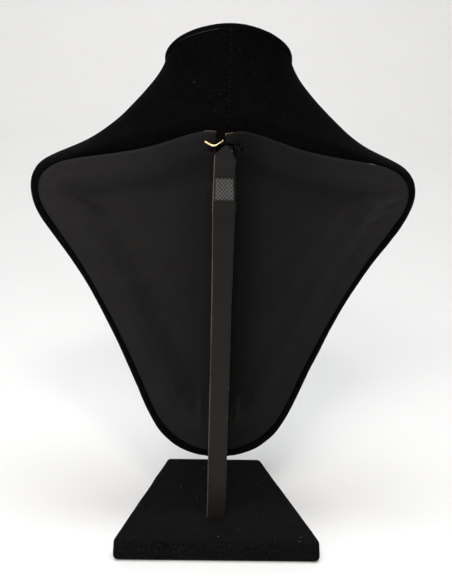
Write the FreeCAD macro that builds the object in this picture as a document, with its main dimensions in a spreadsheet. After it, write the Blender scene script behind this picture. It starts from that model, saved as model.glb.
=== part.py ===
# Necklace display bust with an easel strut and a trapezoid base.
# Millimetres.  +Z up, the chest faces -Y, the open back and the strut face +Y.
# Origin: centre of the base's underside.
import FreeCAD, Part
import os
import math
import Sketcher
from FreeCAD import Vector as V

os.makedirs("parts", exist_ok=True)
doc = FreeCAD.newDocument("display_bust")

# ------------------------------------------------------------------ sheet
sheet = doc.addObject("Spreadsheet::Sheet", "Sheet")
DIMS = [
    # base
    ("base_rear_w", 137.0), ("base_front_w", 69.0), ("base_depth", 130.0),
    ("base_high", 14.8), ("base_corner", 3.4), ("base_cover", 1.0),
    ("base_sheet", 1.0), ("base_margin", 12.0), ("base_sheet_inset", 2.0),
    # socket in the base and the strut
    ("strut_y", 27.85), ("socket_w", 13.1), ("socket_t", 3.6), ("socket_floor", 3.0),
    ("strut_foot", 3.2), ("core_t", 1.8), ("facing_t", 0.7),
    ("knee_z", 233.5), ("valley_z", 248.5), ("valley_y", 20.9),
    ("top_z", 266.0), ("top_y", 26.5), ("tongue_x", -2.5), ("tongue_w", 4.2),
    ("tongue_z", 267.4), ("hook_y", 17.3), ("hook_z", 275.0),
    # bust shell
    ("rim_y", 22.5), ("wall_t", 3.0), ("cover_t", 1.0), ("rim_lip", 6.0),
    ("cover_lap", 4.0), ("neck_slant", 34.5), ("neck_top", 340.2),
    ("neck_shift", -1.9), ("shift_low", 258.0), ("shift_run", 26.0),
    ("cap_t", 3.0), ("cap_proud", 0.6),
    # back panel
    ("board_t", 1.5), ("lining_t", 0.7), ("panel_gap", 0.1), ("dish_deep", 10.0),
    ("flange_w", 9.0), ("dish_run", 26.0),
    ("notch_x", 2.9), ("notch_w", 5.8), ("slot_z", 262.0), ("slot_top", 269.9),
    ("hole_x", 8.3), ("hole_z", 266.0), ("hole_r", 1.5),
    ("stiff_w", 24.0), ("stiff_t", 2.4), ("stiff_low", 80.0), ("stiff_top", 236.0),
    # tie
    ("cord_r", 0.7), ("knot_r", 2.1), ("wire_r", 0.7),
]
for i, (name, val) in enumerate(DIMS):
    sheet.set("A%d" % (i + 1), name)
    sheet.set("B%d" % (i + 1), repr(val))
    sheet.setAlias("B%d" % (i + 1), name)

# Horizontal sections of the shell: level, half width, level of the widest
# point (y), roundness of the back, half width of the flat rim, rearmost y
# (used where there is no flat), foremost y, roundness of the front.
SECTIONS = [
    (56.6, 8.5, 17.0, 4.0, 5.5, 0.0, 13.0, 2.0),
    (57.8, 14.0, 15.0, 4.0, 10.8, 0.0, 10.5, 2.0),
    (60.5, 22.5, 14.0, 4.5, 18.8, 0.0, 7.0, 2.1),
    (65.0, 30.0, 13.0, 5.0, 26.2, 0.0, 3.0, 2.1),
    (71.0, 36.6, 12.5, 5.0, 32.3, 0.0, -1.5, 2.1),
    (79.0, 42.2, 12.0, 5.0, 37.6, 0.0, -6.5, 2.1),
    (90.0, 47.8, 12.0, 5.0, 42.8, 0.0, -12.0, 2.1),
    (105.0, 53.9, 12.0, 5.0, 49.1, 0.0, -18.0, 2.1),
    (125.0, 62.3, 12.0, 5.0, 57.7, 0.0, -24.5, 2.1),
    (150.0, 73.3, 12.0, 5.0, 68.3, 0.0, -31.0, 2.1),
    (175.0, 86.4, 12.0, 5.0, 81.4, 0.0, -36.0, 2.15),
    (197.0, 100.2, 12.0, 5.0, 95.0, 0.0, -39.5, 2.2),
    (213.0, 111.6, 12.0, 5.0, 106.5, 0.0, -41.5, 2.25),
    (225.0, 118.5, 12.0, 4.8, 113.4, 0.0, -42.0, 2.3),
    (234.0, 121.2, 11.5, 4.6, 116.7, 0.0, -42.0, 2.3),
    (242.0, 121.4, 11.0, 4.2, 116.9, 0.0, -41.5, 2.3),
    (249.0, 119.1, 10.0, 3.6, 114.3, 0.0, -40.5, 2.3),
    (254.5, 113.3, 9.0, 3.0, 107.7, 0.0, -39.5, 2.25),
    (259.5, 102.4, 7.0, 2.7, 95.8, 0.0, -38.3, 2.2),
    (265.0, 90.2, 5.0, 2.5, 81.0, 0.0, -37.0, 2.15),
    (270.5, 80.9, 1.0, 2.4, 64.8, 0.0, -36.7, 2.0),
    (277.5, 71.7, -3.0, 2.3, 41.5, 0.0, -36.7, 1.9),
    (286.0, 62.4, -7.0, 2.2, 13.0, 0.0, -37.2, 1.8),
    (296.0, 52.9, -10.0, 2.1, 0.0, 20.2, -38.0, 1.8),
    (306.0, 45.0, -12.0, 1.95, 0.0, 18.0, -39.0, 1.95),
    (315.0, 40.0, -13.0, 1.85, 0.0, 17.0, -40.0, 2.1),
    (323.0, 38.3, -13.0, 1.82, 0.0, 16.8, -40.5, 2.2),
    (332.0, 37.8, -13.0, 1.82, 0.0, 17.2, -41.0, 2.2),
    (350.0, 37.8, -13.0, 1.82, 0.0, 18.0, -42.0, 2.2),
]
# Half outline of the back panel (x, z), from the bottom up to the notch.
OUTLINE = [
    (0.0, 61.5), (8.0, 62.1), (17.0, 65.0), (24.5, 69.4), (32.5, 76.2),
    (38.5, 84.0), (44.5, 95.6), (52.5, 115.0), (61.0, 134.5), (72.0, 157.4),
    (82.8, 178.0), (92.8, 195.0), (99.0, 204.5), (109.0, 219.6),
    (114.9, 230.0), (116.8, 239.0), (115.6, 245.6), (112.0, 250.6),
    (106.0, 254.6), (98.0, 257.4), (86.0, 259.6), (74.0, 261.4),
    (61.0, 263.6), (49.0, 266.2), (37.0, 270.0), (26.0, 273.8),
    (17.5, 276.3), (10.0, 277.5), (4.0, 276.6), (0.0, 275.9),
]
table = doc.addObject("Spreadsheet::Sheet", "Tables")
for i, row in enumerate(SECTIONS):
    for k, val in enumerate(row):
        cell = "%s%d" % ("ABCDEFGH"[k], i + 1)
        table.set(cell, repr(val))
        table.setAlias(cell, "sec_%s_%02d" % (
            ["level", "half", "widey", "backn", "flat", "reary", "fronty", "frontn"][k], i + 1))
for i, (px, pz) in enumerate(OUTLINE):
    for k, val in enumerate((px, pz)):
        cell = "%s%d" % ("JK"[k], i + 1)
        table.set(cell, repr(val))
        table.setAlias(cell, "out_%s_%02d" % (["across", "level"][k], i + 1))
doc.recompute()


def P(name):
    return float(sheet.get(name))


def section_row(i):
    return [float(table.get("sec_%s_%02d" % (k, i + 1))) for k in
            ["level", "half", "widey", "backn", "flat", "reary", "fronty", "frontn"]]


ROWS = [section_row(i) for i in range(len(SECTIONS))]
OUT = [(float(table.get("out_across_%02d" % (i + 1))),
        float(table.get("out_level_%02d" % (i + 1)))) for i in range(len(OUTLINE))]

ROOT = {}


def feature(label, shape):
    if len(shape.Solids) == 1:
        shape = shape.Solids[0]
    ob = doc.addObject("Part::Feature", label)
    ob.Label = label
    ob.Shape = shape
    ob.Placement = FreeCAD.Placement()
    ROOT[label] = ob
    return ob


# ------------------------------------------------------------------ base
SLOPE = "((Sheet.base_rear_w-Sheet.base_front_w)/2/Sheet.base_depth)"


def trapezoid_sketch(name, inset, z_expr, body=None):
    """Symmetric trapezoid: wide edge at +Y, narrow edge at -Y, moved in by inset."""
    if body is not None:
        sk = body.newObject("Sketcher::SketchObject", name)
        plane = [f for f in body.Origin.OriginFeatures if f.Role == "XY_Plane"][0]
        sk.AttachmentSupport = [(plane, "")]
        sk.MapMode = "FlatFace"
        sk.setExpression(".AttachmentOffset.Base.z", z_expr)
    else:
        sk = doc.addObject("Sketcher::SketchObject", name)
        sk.setExpression(".Placement.Base.z", z_expr)
    pts = [V(-60, 55, 0), V(60, 55, 0), V(30, -55, 0), V(-30, -55, 0)]
    for a in range(4):
        sk.addGeometry(Part.LineSegment(pts[a], pts[(a + 1) % 4]), False)
    for a in range(4):
        sk.addConstraint(Sketcher.Constraint("Coincident", a, 2, (a + 1) % 4, 1))
    sk.addConstraint(Sketcher.Constraint("Symmetric", 0, 1, 0, 2, -2))
    sk.addConstraint(Sketcher.Constraint("Symmetric", 2, 1, 2, 2, -2))
    a = sk.addConstraint(Sketcher.Constraint("DistanceX", 0, 1, 0, 2, 120.0))
    sk.setExpression("Constraints[%d]" % a,
                     "Sheet.base_rear_w-2*(%s)*(%s+sqrt(1+%s*%s))" % (inset, SLOPE, SLOPE, SLOPE))
    b = sk.addConstraint(Sketcher.Constraint("DistanceX", 2, 2, 2, 1, 60.0))
    sk.setExpression("Constraints[%d]" % b,
                     "Sheet.base_front_w-2*(%s)*(sqrt(1+%s*%s)-%s)" % (inset, SLOPE, SLOPE, SLOPE))
    c = sk.addConstraint(Sketcher.Constraint("DistanceY", -1, 1, 0, 1, 55.0))
    sk.setExpression("Constraints[%d]" % c, "Sheet.base_depth/2-(%s)" % inset)
    d = sk.addConstraint(Sketcher.Constraint("DistanceY", 2, 1, -1, 1, 55.0))
    sk.setExpression("Constraints[%d]" % d, "Sheet.base_depth/2-(%s)" % inset)
    return sk


def socket_sketch(name, body, z_expr):
    sk = body.newObject("Sketcher::SketchObject", name)
    plane = [f for f in body.Origin.OriginFeatures if f.Role == "XY_Plane"][0]
    sk.AttachmentSupport = [(plane, "")]
    sk.MapMode = "FlatFace"
    sk.setExpression(".AttachmentOffset.Base.z", z_expr)
    pts = [V(-6.5, 26, 0), V(6.5, 26, 0), V(6.5, 29, 0), V(-6.5, 29, 0)]
    for a in range(4):
        sk.addGeometry(Part.LineSegment(pts[a], pts[(a + 1) % 4]), False)
    for a in range(4):
        sk.addConstraint(Sketcher.Constraint("Coincident", a, 2, (a + 1) % 4, 1))
    sk.addConstraint(Sketcher.Constraint("Horizontal", 2))
    for a in (1, 3):
        sk.addConstraint(Sketcher.Constraint("Vertical", a))
    sk.addConstraint(Sketcher.Constraint("Symmetric", 0, 1, 0, 2, -2))
    a = sk.addConstraint(Sketcher.Constraint("DistanceX", 0, 1, 0, 2, 13.0))
    sk.setExpression("Constraints[%d]" % a, "Sheet.socket_w")
    b = sk.addConstraint(Sketcher.Constraint("DistanceY", 1, 1, 1, 2, 3.6))
    sk.setExpression("Constraints[%d]" % b, "Sheet.socket_t")
    c = sk.addConstraint(Sketcher.Constraint("DistanceY", -1, 1, 0, 1, 26.0))
    sk.setExpression("Constraints[%d]" % c, "Sheet.strut_y-Sheet.socket_t/2")
    return sk


def upright_edges(shape):
    names = []
    for n, e in enumerate(shape.Edges):
        if e.Curve.TypeId == "Part::GeomLine":
            a, b = e.Vertexes[0].Point, e.Vertexes[1].Point
            if abs(a.x - b.x) < 1e-4 and abs(a.y - b.y) < 1e-4 and abs(a.x) > 20:
                names.append("Edge%d" % (n + 1))
    return names


# Fibreboard block with the socket for the strut's foot.
board = doc.addObject("PartDesign::Body", "base_board")
board.Label = "base_board"
bsk = trapezoid_sketch("base_board_outline", "Sheet.base_cover",
                       "Sheet.base_sheet+Sheet.base_cover", board)
pad = board.newObject("PartDesign::Pad", "base_board_pad")
pad.Profile = bsk
pad.setExpression("Length", "Sheet.base_high-Sheet.base_sheet-2*Sheet.base_cover")
doc.recompute()
fil = board.newObject("PartDesign::Fillet", "base_board_corners")
fil.Base = (pad, upright_edges(pad.Shape))
fil.setExpression("Radius", "Sheet.base_corner-Sheet.base_cover")
doc.recompute()
v0 = fil.Shape.Volume
ssk = socket_sketch("base_board_socket", board, "Sheet.base_high-Sheet.base_cover")
poc = board.newObject("PartDesign::Pocket", "base_board_pocket")
poc.Profile = ssk
poc.setExpression("Length", "Sheet.base_high-Sheet.base_cover-Sheet.socket_floor")
doc.recompute()
if poc.Shape.Volume > v0 - 100:
    raise RuntimeError("the base socket cut nothing")
ROOT["base_board"] = board

# Velvet stretched over the block and turned under its edge.
outer_sk = trapezoid_sketch("base_velvet_outline", "0", "Sheet.base_sheet")
outer = doc.addObject("Part::Extrusion", "base_velvet_outer")
outer.Base = outer_sk
outer.DirMode = "Custom"
outer.Dir = V(0, 0, 1)
outer.Solid = True
outer.setExpression("LengthFwd", "Sheet.base_high-Sheet.base_sheet")
doc.recompute()
ofil = doc.addObject("Part::Fillet", "base_velvet_rounded")
ofil.Base = outer
ofil.Edges = [(int(n[4:]), P("base_corner"), P("base_corner")) for n in upright_edges(outer.Shape)]
hollow = doc.addObject("Part::Feature", "base_velvet_core")
mouth_sk = trapezoid_sketch("base_velvet_mouth_outline", "Sheet.base_cover+Sheet.base_margin", "0")
mouth = doc.addObject("Part::Extrusion", "base_velvet_mouth")
mouth.Base = mouth_sk
mouth.DirMode = "Custom"
mouth.Dir = V(0, 0, 1)
mouth.Solid = True
mouth.setExpression("LengthFwd", "Sheet.base_sheet+2*Sheet.base_cover")
doc.recompute()
hollow.Shape = fil.Shape.copy()
slotbox = doc.addObject("Part::Box", "base_velvet_slit")
slotbox.setExpression("Length", "Sheet.socket_w")
slotbox.setExpression("Width", "Sheet.socket_t")
slotbox.setExpression("Height", "3*Sheet.base_cover")
slotbox.setExpression("Placement.Base.x", "-Sheet.socket_w/2")
slotbox.setExpression("Placement.Base.y", "Sheet.strut_y-Sheet.socket_t/2")
slotbox.setExpression("Placement.Base.z", "Sheet.base_high-2*Sheet.base_cover")
tools = doc.addObject("Part::MultiFuse", "base_velvet_tools")
tools.Shapes = [hollow, mouth, slotbox]
bvel = doc.addObject("Part::Cut", "base_velvet")
bvel.Base = ofil
bvel.Tool = tools
bvel.Label = "base_velvet"
ROOT["base_velvet"] = bvel

# Card sheet glued under the base; the stand rests on it.
under = doc.addObject("PartDesign::Body", "base_under_sheet")
under.Label = "base_under_sheet"
usk = trapezoid_sketch("base_under_outline", "Sheet.base_sheet_inset", "0", under)
upad = under.newObject("PartDesign::Pad", "base_under_pad")
upad.Profile = usk
upad.setExpression("Length", "Sheet.base_sheet")
doc.recompute()
ufil = under.newObject("PartDesign::Fillet", "base_under_corners")
ufil.Base = (upad, upright_edges(upad.Shape))
ufil.Radius = 2.0
doc.recompute()
ROOT["base_under_sheet"] = under


# ------------------------------------------------------------------ strut
def fillet_path(pts, radii):
    """Straight runs joined by tangent arcs, as (kind, data) pieces in the YZ plane."""
    out = []
    prev = pts[0]
    for i in range(1, len(pts) - 1):
        a, b, c = pts[i - 1], pts[i], pts[i + 1]
        ba = (a - b)
        bc = (c - b)
        ba.normalize()
        bc.normalize()
        half = math.acos(max(-1, min(1, ba.dot(bc)))) / 2
        run = radii[i - 1] / math.tan(half)
        t0 = b + ba * run
        t1 = b + bc * run
        mid = ba + bc
        mid.normalize()
        cen = b + mid * (radii[i - 1] / math.sin(half))
        out.append(("line", prev, t0))
        out.append(("arc", t0, t1, cen))
        prev = t1
    out.append(("line", prev, pts[-1]))
    return out


def side_normal(d):
    # left of the direction of travel in the YZ plane
    return V(0, -d.z, d.y)


def offset_edges(path, off):
    edges = []
    for seg in path:
        if seg[0] == "line":
            d = seg[2] - seg[1]
            d.normalize()
            sh = side_normal(d) * off
            edges.append(Part.LineSegment(seg[1] + sh, seg[2] + sh).toShape())
        else:
            _, t0, t1, cen = seg
            r0 = t0 - cen
            r = r0.Length
            tang = (t1 - t0)
            tang.normalize()
            n = side_normal(tang)
            mid = (t0 - cen) + (t1 - cen)
            mid.normalize()
            sign = 1.0 if n.dot(mid) > 0 else -1.0
            rr = r + sign * off
            a = cen + (t0 - cen) * (rr / r)
            b = cen + (t1 - cen) * (rr / r)
            edges.append(Part.Arc(a, cen + mid * rr, b).toShape())
    return edges


def strip(path, off0, off1, x0, x1):
    """Solid strip between two offsets of a YZ path, from x0 to x1."""
    e0 = offset_edges(path, off0)
    e1 = offset_edges(path, off1)
    a0, a1 = e0[0].firstVertex(True).Point, e0[-1].lastVertex(True).Point
    b0, b1 = e1[0].firstVertex(True).Point, e1[-1].lastVertex(True).Point
    edges = e0 + e1 + [Part.LineSegment(a0, b0).toShape(), Part.LineSegment(a1, b1).toShape()]
    wire = Part.Wire(Part.__sortEdges__(edges))
    face = Part.Face(wire)
    face.translate(V(x0, 0, 0))
    return face.extrude(V(x1 - x0, 0, 0))


def prism_xz(points, y0, y1):
    pts = [V(p[0], y0, p[1]) for p in points]
    face = Part.Face(Part.makePolygon(pts + [pts[0]]))
    return face.extrude(V(0, y1 - y0, 0))


SY = P("strut_y")
low_path = [V(0, SY, P("strut_foot")), V(0, SY, P("knee_z")),
            V(0, P("valley_y"), P("valley_z")), V(0, P("top_y") - 1.2, P("top_z") - 4.0),
            V(0, P("top_y"), P("top_z"))]
wide_path = fillet_path(low_path, [6.0, 7.0, 6.0])
tongue_pts = low_path[:-1] + [V(0, P("top_y") + 0.15, P("tongue_z")), V(0, P("hook_y"), P("tongue_z") + 0.1),
                              V(0, P("hook_y"), P("hook_z"))]
tongue_path = fillet_path(tongue_pts, [6.0, 7.0, 6.0, 1.4, 1.4])
CT, FT = P("core_t"), P("facing_t")
HALF = [(3.2, 6.3), (115.0, 6.35), (170.0, 6.55), (197.0, 6.8), (220.0, 7.15),
        (231.0, 7.4), (240.0, 7.05), (250.0, 6.85), (258.0, 6.85)]
strip_outline = [(w, z) for z, w in HALF] + [(6.6, 262.4), (4.2, 265.0), (-0.6, 266.0),
                                             (-4.8, 264.0), (-6.85, 259.6)] + \
                [(-w, z) for z, w in reversed(HALF)]
# The rear facing runs on past the bend of the tongue to a blunt point.
flap_outline = [(w, z) for z, w in HALF] + [(6.6, 262.6), (6.2, 264.6), (3.0, 267.4), (0.2, 269.0), (-1.6, 269.3),
                                            (-4.0, 266.2), (-6.85, 260.8)] + \
               [(-w, z) for z, w in reversed(HALF)]
flap_path = fillet_path(low_path + [V(0, P("top_y") + 0.25, P("top_z") + 4.0)], [6.0, 7.0, 6.0, 6.0])
TX, TW = P("tongue_x"), P("tongue_w")
core_outline = strip_outline[:len(HALF) + 1] + [(3.6, 264.6), (TX + TW / 2, 265.4), (TX + TW / 2, 290.0),
                                              (TX - TW / 2, 290.0), (TX - TW / 2, 264.2)] + \
    strip_outline[len(HALF) + 3:]
core = strip(tongue_path, -CT / 2, CT / 2, -9, 9).common(prism_xz(core_outline, 0, 60))
feature("strut_core", core)
rear_side = -1.0 if side_normal(V(0, 0, 1)).y < 0 else 1.0
lo, hi = sorted([rear_side * CT / 2, rear_side * (CT / 2 + FT)])
feature("strut_facing_rear", strip(flap_path, lo, hi, -9, 9).common(prism_xz(flap_outline, 0, 60)))
feature("strut_facing_front", strip(wide_path, -hi, -lo, -9, 9).common(prism_xz(strip_outline, 0, 60)))


# ------------------------------------------------------------------ bust
def sup(wv, hv, n, tt):
    c, sn = math.cos(tt), math.sin(tt)
    return wv * abs(c) ** (2.0 / n), hv * abs(sn) ** (2.0 / n)


def off_centre(z):
    """The neck stands a little to one side of the centre line."""
    t = min(1.0, max(0.0, (z - P("shift_low")) / P("shift_run")))
    return P("neck_shift") * t * t * (3 - 2 * t)


def section_wire(row, d):
    """Closed D-shaped section, grown outward by d."""
    z, w, wy, nb, flat, rear, front, nf = row
    w = w + d
    rim = P("rim_y") + d
    if flat > 0:
        q = min(0.985, (flat + d) / w)
        yb = wy + (rim - wy) / (1 - q ** nb) ** (1.0 / nb)
    else:
        yb = rear + d
    yf = front - d
    pts = []
    NR, NF = 9, 9
    for k in range(NR):                      # rear centre to the side
        tt = math.pi / 2 * (1 - k / float(NR))
        x, y = sup(w, yb - wy, nb, tt)
        pts.append((x, wy + y))
    for k in range(NF + 1):                  # side to the front centre
        tt = math.pi / 2 * k / float(NF)
        x, y = sup(w, wy - yf, nf, tt)
        pts.append((x, wy - y))
    x0 = off_centre(z)
    full = [V(x0 + x, y, z) for x, y in pts]
    full += [V(x0 - x, y, z) for x, y in reversed(pts[1:-1])]
    curve = Part.BSplineCurve()
    curve.interpolate(full, PeriodicFlag=True)
    return Part.Wire([curve.toShape()])


def bust_solid(d):
    rows = [r for r in ROWS]
    wires = []
    for n, r in enumerate(rows):
        rr = list(r)
        if n == 0:
            rr[0] = r[0] - d
        wires.append(section_wire(rr, d))
    solid = Part.makeLoft(wires, True, False)
    # flat rim plane at the back
    cutter = Part.makeBox(400, 60, 400, V(-200, P("rim_y") + d, 0))
    return solid.cut(cutter)


SL = math.radians(P("neck_slant"))
NUP = V(0, -math.sin(SL), math.cos(SL))      # normal of the slanted neck cut
NECK_PT = V(0, 19.0, P("neck_top"))


def above(plane_pt, dist, thick=200.0):
    """Block on the upper side of the slanted plane, raised by dist."""
    box = Part.makeBox(400, 400, thick, V(-200, -200, 0))
    box.rotate(V(0, 0, 0), V(1, 0, 0), P("neck_slant"))
    box.translate(plane_pt + NUP * dist)
    return box


def outline_curve_points():
    right = OUT[:]
    left = [(-x, z) for x, z in reversed(OUT[1:-1])]
    return right + left


def inset_outline(d, top_extra=0.0):
    """Outline moved inward by d, as a smooth closed wire in the y=0 plane."""
    pts = outline_curve_points()
    curve = Part.BSplineCurve()
    curve.interpolate([V(x, 0, z) for x, z in pts], PeriodicFlag=True)
    if abs(d) < 1e-6:
        return Part.Wire([curve.toShape()])
    n = 120
    f, l = curve.FirstParameter, curve.LastParameter
    cen = V(0, 0, 190)
    out = []
    for k in range(n):
        u = f + (l - f) * k / n
        p = curve.value(u)
        tn = curve.tangent(u)
        tn = tn[0] if isinstance(tn, (tuple, list)) else tn
        nn = V(tn.z, 0, -tn.x)
        nn.normalize()
        if nn.dot(cen - p) < 0:
            nn = nn * -1
        q = p + nn * d
        if q.z > 266 and top_extra:
            q.z -= top_extra * max(0.0, 1 - abs(q.x) / 30.0)
        out.append(q)
    c2 = Part.BSplineCurve()
    c2.interpolate(out, PeriodicFlag=True)
    return Part.Wire([c2.toShape()])


def outline_prism(d, y0, y1, top_extra=0.0):
    w = inset_outline(d, top_extra)
    face = Part.Face(w)
    face.translate(V(0, y0, 0))
    return face.extrude(V(0, y1 - y0, 0))


RIM, WALL, COV = P("rim_y"), P("wall_t"), P("cover_t")
skin_out = bust_solid(COV)
shell_out = bust_solid(0.0)
shell_in = bust_solid(-WALL)
mouth_prism = outline_prism(P("rim_lip"), RIM - WALL - 4, RIM + 3, 1.6)
shell = shell_out.cut(shell_in).cut(mouth_prism).cut(above(NECK_PT, 0.0))
feature("bust_shell", shell)
lap_prism = outline_prism(P("cover_lap"), RIM - 1, RIM + COV + 3)
cover = skin_out.cut(shell_out).cut(lap_prism).cut(above(NECK_PT, 0.0))
cover = max(cover.Solids, key=lambda q: q.Volume)
feature("bust_velvet", cover)

# Oval card disc in the slanted neck opening, and its velvet.
slab = above(NECK_PT, 0.0, P("cap_t"))
feature("neck_cap_card", bust_solid(P("cap_proud")).common(slab))
proud = bust_solid(P("cap_proud"))
proud_out = bust_solid(P("cap_proud") + COV)
slab2 = above(NECK_PT, 0.0, P("cap_t") + COV)
cap_velvet = proud_out.common(slab2).cut(proud.common(slab))
feature("neck_cap_velvet", cap_velvet)

# ------------------------------------------------------------------ back panel
POLY = None


def poly_points():
    w = inset_outline(0.0)
    return w.discretize(220)


POLY = [(p.x, p.z) for p in poly_points()]


def edge_distance(x, z):
    """Distance to the panel's edge, positive inside."""
    best = 1e9
    inside = False
    n = len(POLY)
    for i in range(n):
        ax, az = POLY[i]
        bx, bz = POLY[(i + 1) % n]
        dx, dz = bx - ax, bz - az
        ll = dx * dx + dz * dz
        tt = 0.0 if ll == 0 else max(0.0, min(1.0, ((x - ax) * dx + (z - az) * dz) / ll))
        px, pz = ax + tt * dx, az + tt * dz
        best = min(best, math.hypot(x - px, z - pz))
        if (az > z) != (bz > z) and x < (bx - ax) * (z - az) / (bz - az + 1e-12) + ax:
            inside = not inside
    return best if inside else -best


def dish(x, z):
    e = edge_distance(x, z)
    e0 = P("flange_w") - 5.0 * math.exp(-(x / 30.0) ** 2 - ((z - 268.0) / 22.0) ** 2)
    q = max(0.0, min(1.0, (e - e0) / P("dish_run")))
    return P("dish_deep") * q * q * q * (q * (6 * q - 15) + 10)


XS = [-124 + 248 * k / 40.0 for k in range(41)]
ZS = [52 + 232 * k / 40.0 for k in range(41)]
DEPTH = [[dish(x, z) for z in ZS] for x in XS]


def dish_face(y):
    grid = [[V(x, y - DEPTH[i][k], z) for k, z in enumerate(ZS)] for i, x in enumerate(XS)]
    surf = Part.BSplineSurface()
    surf.interpolate(grid)
    return surf.toShape()


PY = RIM + COV + P("panel_gap")               # the panel lies on the turned velvet
BT, LT = P("board_t"), P("lining_t")
full_prism = outline_prism(0.0, 0, 60)
notch = Part.makeBox(P("notch_w"), 60, 30, V(P("notch_x") - P("notch_w") / 2, 0, P("slot_z")))
slot = Part.makeBox(7.2, 60, P("slot_top") - P("slot_z"), V(-5.2, 0, P("slot_z")))
holes = []
for hx in (P("hole_x"), -P("hole_x")):
    holes.append(Part.makeCylinder(P("hole_r"), 60, V(hx, 0, P("hole_z")), V(0, 1, 0)))


def panel(y, thick):
    s = dish_face(y).extrude(V(0, thick, 0)).common(full_prism)
    s = s.cut(notch).cut(slot)
    for h in holes:
        s = s.cut(h)
    return s


feature("back_board", panel(PY, BT))
feature("back_lining", panel(PY + BT, LT))
st_w = P("stiff_w")
stiff = dish_face(PY - P("stiff_t")).extrude(V(0, P("stiff_t"), 0)).common(
    Part.makeBox(st_w, 60, P("stiff_top") - P("stiff_low"), V(-st_w / 2, -10, P("stiff_low"))))
feature("back_stiffener", stiff)


# ------------------------------------------------------------------ seam, tie
def tube(points, radii, r):
    segs = fillet_3d(points, radii)
    wire = Part.Wire([s for s in segs])
    d = points[1] - points[0]
    circ = Part.Wire([Part.Circle(points[0], d, r).toShape()])
    return wire.makePipeShell([circ], True, False)


def fillet_3d(pts, radii):
    out = []
    prev = pts[0]
    for i in range(1, len(pts) - 1):
        a, b, c = pts[i - 1], pts[i], pts[i + 1]
        ba = (a - b)
        bc = (c - b)
        ba.normalize()
        bc.normalize()
        half = math.acos(max(-1, min(1, ba.dot(bc)))) / 2
        run = radii[i - 1] / math.tan(half)
        t0, t1 = b + ba * run, b + bc * run
        mid = ba + bc
        mid.normalize()
        cen = b + mid * (radii[i - 1] / math.sin(half))
        m = cen - mid * radii[i - 1]
        out.append(Part.LineSegment(prev, t0).toShape())
        out.append(Part.Arc(t0, m, t1).toShape())
        prev = t1
    out.append(Part.LineSegment(prev, pts[-1]).toShape())
    return out


HX, HZ = P("hole_x"), P("hole_z")
# Elastic tie: out of the left hole, behind the board, out of the right hole.
cord = tube([V(HX + 0.6, 26.4, HZ + 1.3), V(HX, 24.0, HZ), V(HX - 0.2, 19.6, HZ - 1.2),
             V(-HX + 0.2, 19.6, HZ - 1.2), V(-HX, 24.0, HZ), V(-HX - 0.1, 25.7, HZ - 0.2)],
            [1.0, 1.4, 1.4, 0.25], P("cord_r"))
feature("tie_cord", cord)
knot_at = V(-HX + 0.5, 27.3, HZ + 0.6)
knot = Part.makeSphere(P("knot_r"), knot_at)
knot2 = Part.makeTorus(P("knot_r") - 0.6, 0.75, knot_at, V(0.25, 0.35, 1))
feature("tie_knot", knot.fuse(knot2).cut(cord))
wire = tube([V(12.6, 26.7, 271.0), V(8.4, 27.1, 268.9), V(5.4, 27.2, 269.3), V(1.6, 26.9, 271.6)],
            [1.6, 1.6], P("wire_r"))
feature("brass_toggle", wire)

# Stitches of the centre seam down the back of the neck.
probe = []
for k in range(19):
    z = 284.0 + 2.9 * k
    line = Part.LineSegment(V(off_centre(z), 5, z), V(off_centre(z), 40, z)).toShape()
    hit = line.common(cover)
    y = max(v.Point.y for v in hit.Vertexes)
    probe.append((y, z))
stitches = []
for k, (y, z) in enumerate(probe):
    y2 = probe[min(k + 1, len(probe) - 1)][0]
    y1 = probe[max(k - 1, 0)][0]
    ang = math.degrees(math.atan2(y2 - y1, 5.8 if 0 < k < len(probe) - 1 else 2.9))
    b = Part.makeBox(0.9, 0.5, 1.9, V(-0.45, -0.25, -0.95))
    b.rotate(V(0, 0, 0), V(1, 0, 0), -ang)
    b.translate(V(off_centre(z), y + 0.05, z))
    stitches.append(b)
feature("neck_seam_stitches", Part.makeCompound(stitches))

# ------------------------------------------------------------------ checks, export
doc.recompute()
for ob in doc.Objects:
    if "Invalid" in ob.State or "Error" in ob.State:
        raise RuntimeError("failed: " + ob.Label)
labels = {}
for name, ob in ROOT.items():
    shp = ob.Shape
    if shp.isNull() or not shp.isValid() or not shp.Solids:
        raise RuntimeError("bad shape: " + name)
    if ob.Label != name:
        raise RuntimeError("label differs: " + name)
    labels[name] = shp
for name, shp in labels.items():
    bb = shp.optimalBoundingBox(True, False)
    print("%-20s solids %2d vol %9.1f  x %7.1f %7.1f  y %6.1f %6.1f  z %6.1f %6.1f" % (
        name, len(shp.Solids), shp.Volume, bb.XMin, bb.XMax, bb.YMin, bb.YMax, bb.ZMin, bb.ZMax))
    shp.exportStep("parts/%s.step" % name)
print("nodes", len(labels))
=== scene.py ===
import math
import bpy
import bmesh
import numpy as np
from mathutils import Vector, Matrix, noise
from mathutils.geometry import delaunay_2d_cdt
from mathutils.bvhtree import BVHTree


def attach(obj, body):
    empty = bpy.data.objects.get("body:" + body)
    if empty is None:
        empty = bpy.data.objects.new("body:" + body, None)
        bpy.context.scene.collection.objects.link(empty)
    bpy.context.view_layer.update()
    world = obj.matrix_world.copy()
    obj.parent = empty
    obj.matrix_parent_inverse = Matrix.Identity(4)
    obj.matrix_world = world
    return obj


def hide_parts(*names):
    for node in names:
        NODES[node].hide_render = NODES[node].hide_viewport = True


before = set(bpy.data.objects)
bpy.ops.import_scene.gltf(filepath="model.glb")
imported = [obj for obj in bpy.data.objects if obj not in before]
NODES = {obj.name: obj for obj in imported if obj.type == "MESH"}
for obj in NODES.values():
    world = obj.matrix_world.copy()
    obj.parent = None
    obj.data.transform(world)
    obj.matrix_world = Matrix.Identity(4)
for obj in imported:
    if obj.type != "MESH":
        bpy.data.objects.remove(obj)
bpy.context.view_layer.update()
MM = 0.001
scene = bpy.context.scene
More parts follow.
